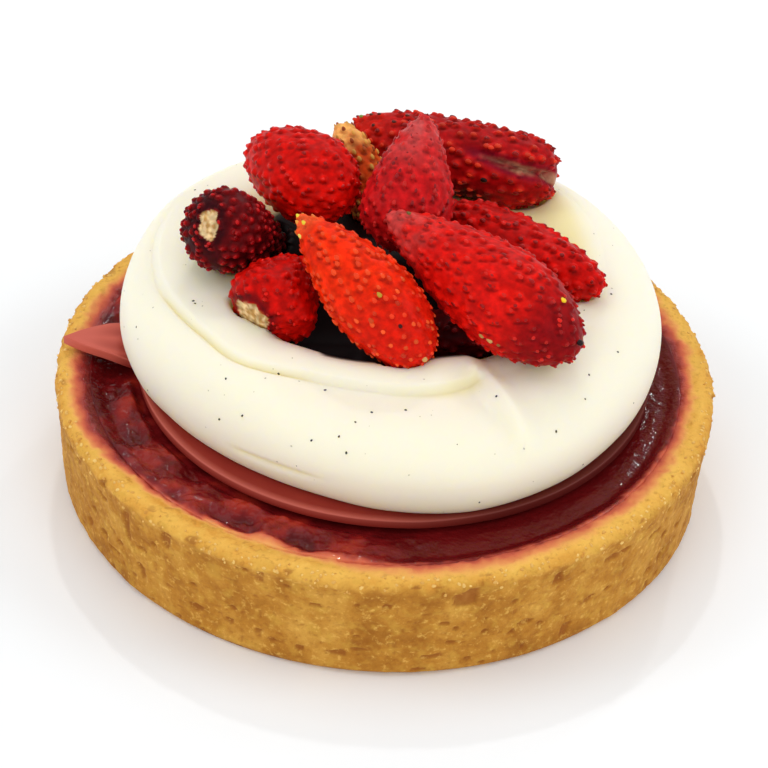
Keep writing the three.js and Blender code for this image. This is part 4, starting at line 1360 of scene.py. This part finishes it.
# painted light: yellower cream beside the berries, in place of their red bounce
painted_light_beside_berry = smooth(1 + beside / 3) * on_top
cream_piece = skin(
    "cream_whipped", rows, (CREAM_X, CREAM_Y, DISC_UNDERSIDE + DISC_THICKNESS + CREAM_GAP), centre,
    masks={"shade": with_poles(shade, 0, 0), "deep": with_poles(deep, 0, 1),
           "juice": with_poles(juice, 0, 1), "painted_light_beside_berry": with_poles(painted_light_beside_berry, 0, 0)})

# %% [markdown]
# Whipped vanilla cream is nearly white fat foam: it scatters light so well that
# its shadows fill with warm ivory, and a spoon leaves it satin, not dry. Deep
# scattering with a yellowish tint gives both, and the groove under the lip is
# a shade yellower, as light bounces there between cream and cream.

# %% Cream material
foam, tree = new_material("whipped vanilla cream")
# painted shade and light over the cream white: yellow shade in creases, yellower light beside berries, warm
# shade in the well, near-black shade in the gaps under the berries
colour = lay_over(tree, linear("F5F0DD"), ("shade", 1, "EFE6B8"), ("painted_light_beside_berry", 1, "F8F8D8"),
                  ("deep", 1, "F0E6B0"), ("juice", 1, "160304"))
white = put(tree, "ShaderNodeBsdfPrincipled", {
    "Base Color": colour, "Roughness": 0.5, "IOR": 1.38, "Specular IOR Level": 0.15,
    "Normal": fine_relief(tree, size=1.2, depth=0.08, strength=0.12, detail=3.0),
    "Subsurface Weight": 1.0, "Subsurface Radius": (1.0, 0.92, 0.5), "Subsurface Scale": 2.4 * MM,
})
put(tree, "ShaderNodeOutputMaterial", {"Surface": white.outputs[0]})
dress(cream_piece, foam, "cream", slot="cream")

# %% [markdown]
# Real vanilla shows as black grains a quarter of a millimetre across. They are
# scattered in the cream's skin with the same tree as the seeds, thinly and at
# random, with a fixed seed so that every run gives the same ones.

# %% Vanilla specks
# angle round the cream in degrees, and distance from its centre in mm
SPECKS_SEEN = [
    (-163.9, 25.0), (-162.2, 24.9), (-135.0, 27.1), (-125.4, 22.6), (-111.2, 21.3), (-126.6, 28.3),
    (-132.4, 29.1), (-102.2, 26.9), (-95.8, 23.5), (-100.3, 28.2), (-59.8, 23.5), (-86.1, 23.0),
    (-50.1, 29.1), (-21.2, 27.7), (-1.9, 25.1), (-33.4, 26.8), (-108.6, 27.7), (-99.6, 25.2),
    (-166.5, 31.5), (147.9, 30.3),
]
SPECKS_LOOSE = 90
FIRST_TOP_ROW = len(FOOT_SHARES) + SIDE_ROWS
LOOSE_ROWS = (14, 125)   # rows of the cream between which the loose specks lie
draw = np.random.default_rng(5)
cream_normals = outward(rows)
columns, lines_at = [], []
for a, r in SPECKS_SEEN:
    i = int(round((a + 180) * CREAM_STEPS / 360)) % CREAM_STEPS
    columns.append(i)
    lines_at.append(FIRST_TOP_ROW + int(np.argmin(np.abs(radial[FIRST_TOP_ROW:, i] - r))))
columns = np.r_[columns, draw.integers(0, CREAM_STEPS, SPECKS_LOOSE)]
lines_at = np.r_[lines_at, draw.integers(*LOOSE_ROWS, SPECKS_LOOSE)]
# no specks where the near-black painted shade lies
clean = juice[lines_at, columns] < 0.1
columns, lines_at = columns[clean], lines_at[clean]
faint = np.arange(len(columns)) >= len(SPECKS_SEEN)
facing = cream_normals[lines_at, columns]
lean = np.cross(facing, draw.normal(size=facing.shape))
lean /= np.linalg.norm(lean, axis=1, keepdims=True)
tints = np.where((faint & (draw.random(len(faint)) < 0.75))[:, None], tint("C8C2AC"), tint("2E2A22"))
sizes = np.where(faint, draw.uniform(0.4, 0.9, len(faint)), draw.uniform(0.9, 1.2, len(faint)))
pod, tree = new_material("vanilla seed")
stored = put(tree, "ShaderNodeAttribute", attribute_name="tint")
dark = put(tree, "ShaderNodeBsdfPrincipled", {"Base Color": stored.outputs["Color"], "Roughness": 0.6})
put(tree, "ShaderNodeOutputMaterial", {"Surface": dark.outputs[0]})
cloud = place_cloud("speck_places", rows[lines_at, columns] - facing * 0.02, facing, lean, tints, sizes)
set_bodies("vanilla_specks", cloud, pod, "cream", Length=0.34, Width=0.27, Height=0.14, Pointedness=0.3)
